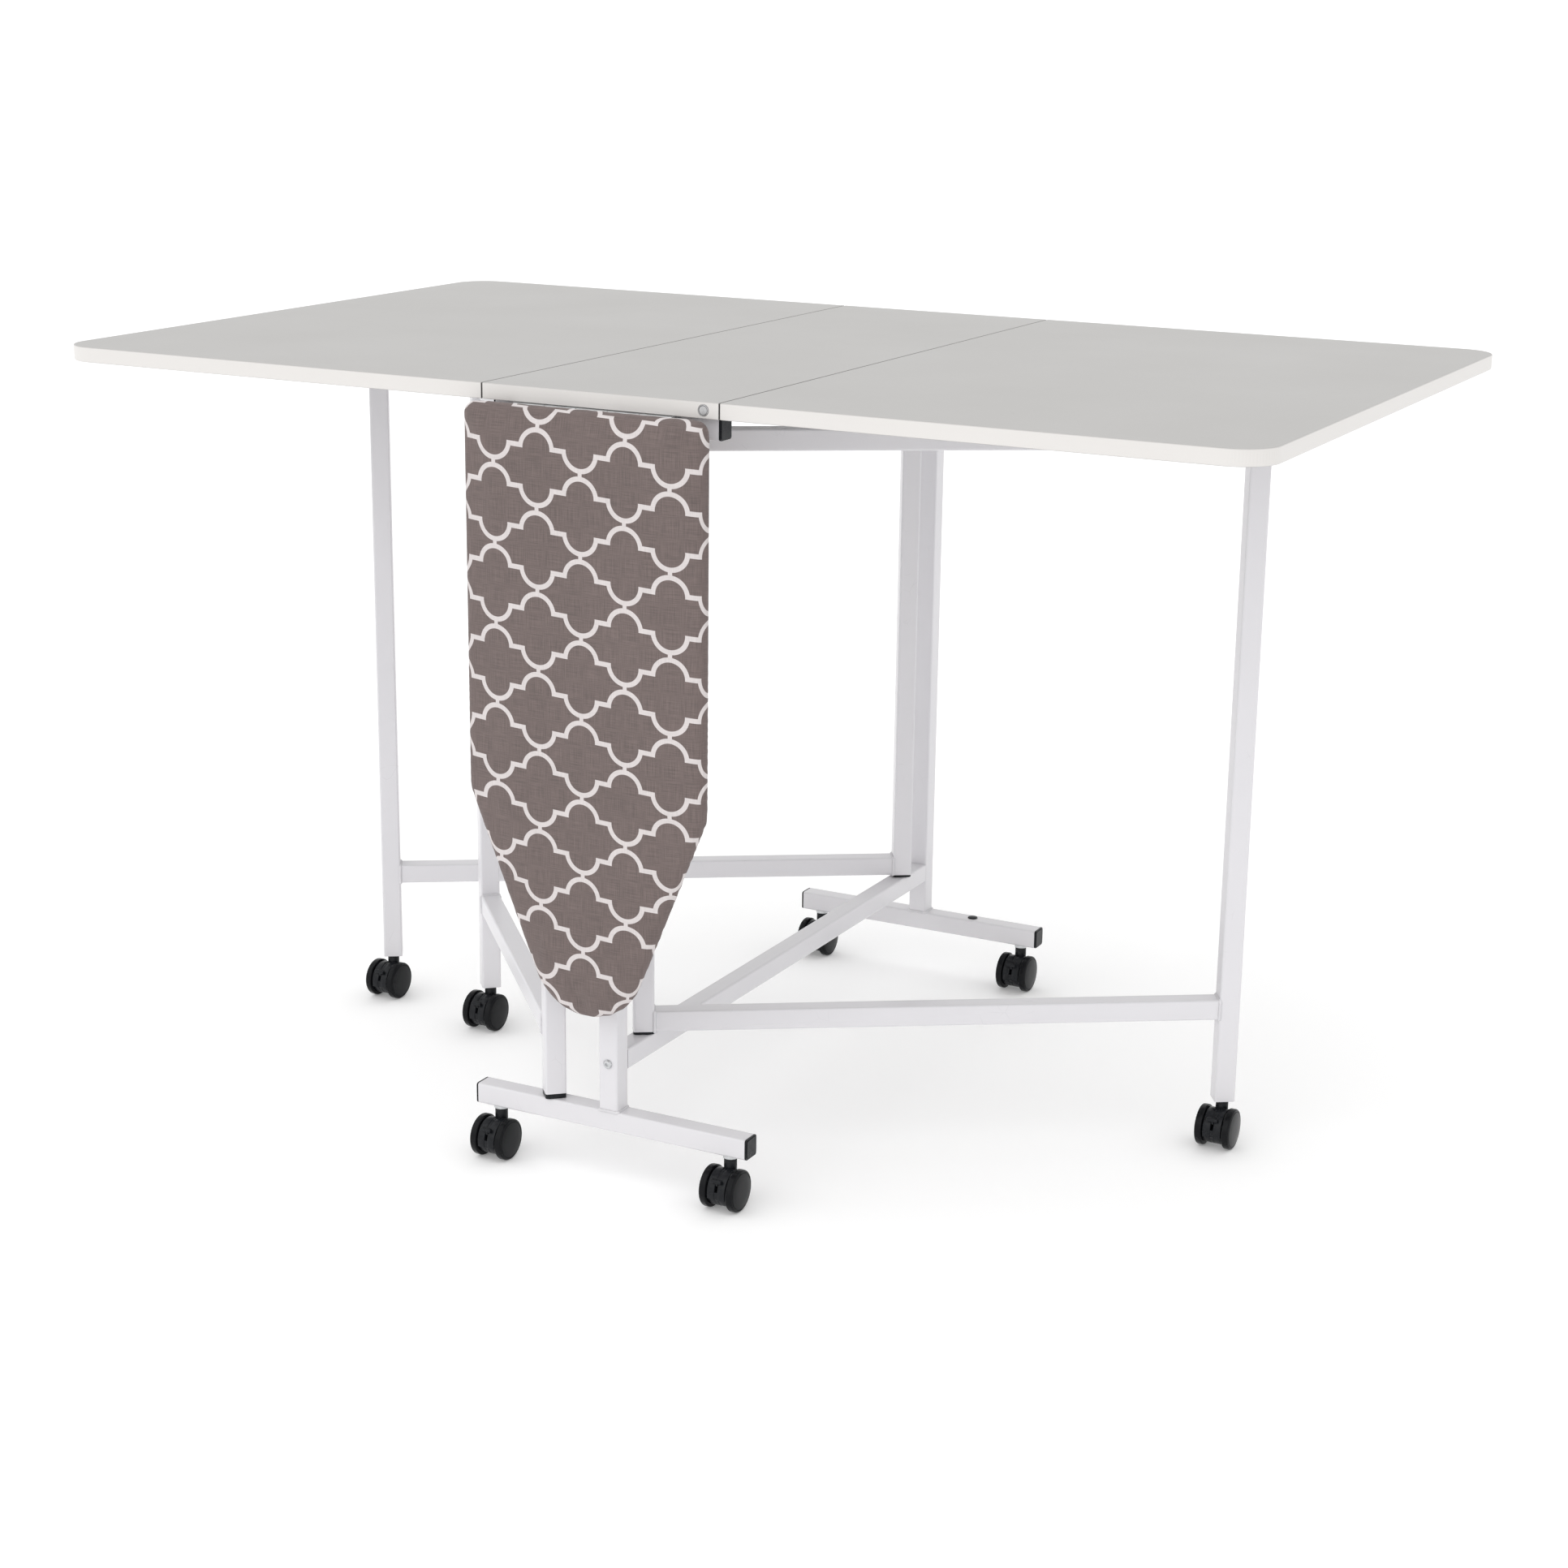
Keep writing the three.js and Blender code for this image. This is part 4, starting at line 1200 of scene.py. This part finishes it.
class TABLE_OT_steel(bpy.types.Operator):
    """Powder-coat the end frames, stretchers and gates"""

    bl_idname = "table.steel"
    bl_label = "Steel frame"

    def execute(self, context):
        names = [f"{side}_{part}" for side in ("front", "rear")
                 for part in ("foot_bar", "post", "top_rail")]
        for name in (*names, "lower_stretcher", "upper_stretcher", *GATES):
            paint(soften(NODES[name], 0.0004), "white_powder_coat")
        make_beads()
        return {"FINISHED"}


class TABLE_OT_plastics(bpy.types.Operator):
    """Finish the tube caps, the glides and the plug"""

    bl_idname = "table.plastics"
    bl_label = "Caps and glides"

    def execute(self, context):
        names = [f"{side}_{part}_cap_{end}" for side in ("front", "rear")
                 for part in ("foot", "rail") for end in ("left", "right")]
        for name in (*names, "rear_pivot_plug", *(f"{gate}_glide" for gate in GATES)):
            paint(soften(NODES[name], 0.0004), "moulded_black")
        return {"FINISHED"}


class TABLE_OT_casters(bpy.types.Operator):
    """Build the seven twin-wheel casters and their collars"""

    bl_idname = "table.casters"
    bl_label = "Casters"

    def execute(self, context):
        for name in CASTERS:
            make_wheels(name)
            make_hood(name)
            make_lever(name)
        make_collars()
        return {"FINISHED"}


class TABLE_OT_metalwork(bpy.types.Operator):
    """Plate the hinges and bolts and set their screws"""

    bl_idname = "table.metalwork"
    bl_label = "Hinges and screws"

    def execute(self, context):
        names = [f"{side}_hinge_{kind}" for side in ("right", "left")
                 for kind in ("fixed", "moving")]
        names += ["iron_hinge_fixed", "iron_hinge_moving", "iron_hinge_pin",
                  "front_post_bolt", "rear_post_bolt"]
        for name in names:
            paint(soften(NODES[name], 0.0002), "zinc_plate")
        make_screws()
        return {"FINISHED"}


class TABLE_OT_ironing_board(bpy.types.Operator):
    """Build the ironing board's deck finish, padded cover, hem and stitches"""

    bl_idname = "table.ironing_board"
    bl_label = "Ironing board"

    def execute(self, context):
        paint(soften(NODES["ironing_deck"], 0.0005), "pressed_fibre")
        make_pad()
        make_hem()
        make_hem_stitches()
        return {"FINISHED"}


class TABLE_OT_stage(bpy.types.Operator):
    """Set the floor, the light and the camera"""

    bl_idname = "table.stage"
    bl_label = "Floor, light and camera"

    def execute(self, context):
        make_floor()
        make_light()
        make_camera()
        return {"FINISHED"}


# ---- stage -----------------------------------------------------------------------------------


def make_floor():
    """A wide pale floor with a faint unevenness in its tone."""
    bm = bmesh.new()
    bmesh.ops.create_circle(bm, cap_ends=True, radius=400.0, segments=96)
    mesh = bpy.data.meshes.new("studio_floor")
    bm.to_mesh(mesh)
    bm.free()
    floor = add_object("studio_floor", mesh)
    net, place = new_material("pale_floor")
    tone = net.noise(place, 1.3, 3.0)
    floor.data.materials.append(net.surface(
        net.mix(tone, (0.94, 0.94, 0.94), (0.96, 0.96, 0.96)), net.scale(tone, 0.75, 0.9),
        tone, 0.0, settings={"Emission Color": (1.0, 1.0, 1.0, 1.0), "Emission Strength": 0.12}))


def make_light():
    """Even studio light with one broad, soft key from the front left."""
    scene = bpy.context.scene
    scene.view_settings.view_transform = "Standard"
    world = bpy.data.worlds.new("studio")
    world.use_nodes = True
    background = world.node_tree.nodes["Background"].inputs
    background["Color"].default_value = (1.0, 1.0, 1.0, 1)
    background["Strength"].default_value = 0.98
    scene.world = world
    for name, strength, angle, turn in (
            ("key", 0.55, 70, (math.radians(42), 0, math.radians(-28))),
            ("fill", 0.25, 60, (math.radians(74), 0, math.radians(12)))):
        light = bpy.data.lights.new(name, "SUN")
        light.energy = strength
        light.angle = math.radians(angle)
        add_object(name, light).rotation_euler = turn


def make_camera():
    """Camera at standing height, in front and to the right."""
    yaw, pitch, roll = 0.47633, 0.27523, 0.01271
    ahead = Vector((-math.sin(yaw) * math.cos(pitch), math.cos(yaw) * math.cos(pitch),
                    -math.sin(pitch)))
    level = Vector((math.cos(yaw), math.sin(yaw), 0))
    over = level.cross(ahead)
    right = math.cos(roll) * level + math.sin(roll) * over
    up = -math.sin(roll) * level + math.cos(roll) * over
    data = bpy.data.cameras.new("studio_camera")
    data.sensor_width = 36.0
    data.lens = 66.25
    data.clip_end = 2000.0
    camera = add_object("studio_camera", data)
    turn = Matrix((right, up, -ahead)).transposed().to_4x4()
    camera.matrix_world = Matrix.Translation((1.61113, -3.10752, 1.36918)) @ turn
    bpy.context.scene.camera = camera


# ---- panel and registration ------------------------------------------------------------------

OPERATORS = (TABLE_OT_top, TABLE_OT_steel, TABLE_OT_plastics, TABLE_OT_casters,
             TABLE_OT_metalwork, TABLE_OT_ironing_board, TABLE_OT_stage)


class TABLE_PT_panel(bpy.types.Panel):
    """Lists the table's pieces and settings"""

    bl_idname = "TABLE_PT_panel"
    bl_label = "Sewing table"
    bl_space_type = "VIEW_3D"
    bl_region_type = "UI"
    bl_category = "Sewing table"

    def draw(self, context):
        for settings in ("table_finishes", "table_cover", "table_fittings"):
            box = self.layout.box()
            group = getattr(context.scene, settings)
            for name in group.bl_rna.properties.keys():
                if name not in ("name", "rna_type"):
                    box.prop(group, name)
        for operator in OPERATORS:
            self.layout.operator(operator.bl_idname)


PROPERTY_GROUPS = (("table_finishes", TableFinishes), ("table_cover", CoverPrint),
                   ("table_fittings", FittingSizes))


def register():
    for setting, group in PROPERTY_GROUPS:
        bpy.utils.register_class(group)
        setattr(bpy.types.Scene, setting, bpy.props.PointerProperty(type=group))
    for operator in OPERATORS:
        bpy.utils.register_class(operator)
    bpy.utils.register_class(TABLE_PT_panel)


def unregister():
    bpy.utils.unregister_class(TABLE_PT_panel)
    for operator in reversed(OPERATORS):
        bpy.utils.unregister_class(operator)
    for setting, group in reversed(PROPERTY_GROUPS):
        delattr(bpy.types.Scene, setting)
        bpy.utils.unregister_class(group)


def main():
    register()
    bpy.ops.table.top()
    bpy.ops.table.steel()
    bpy.ops.table.plastics()
    bpy.ops.table.casters()
    bpy.ops.table.metalwork()
    bpy.ops.table.ironing_board()
    bpy.ops.table.stage()


if __name__ == "__main__":
    main()
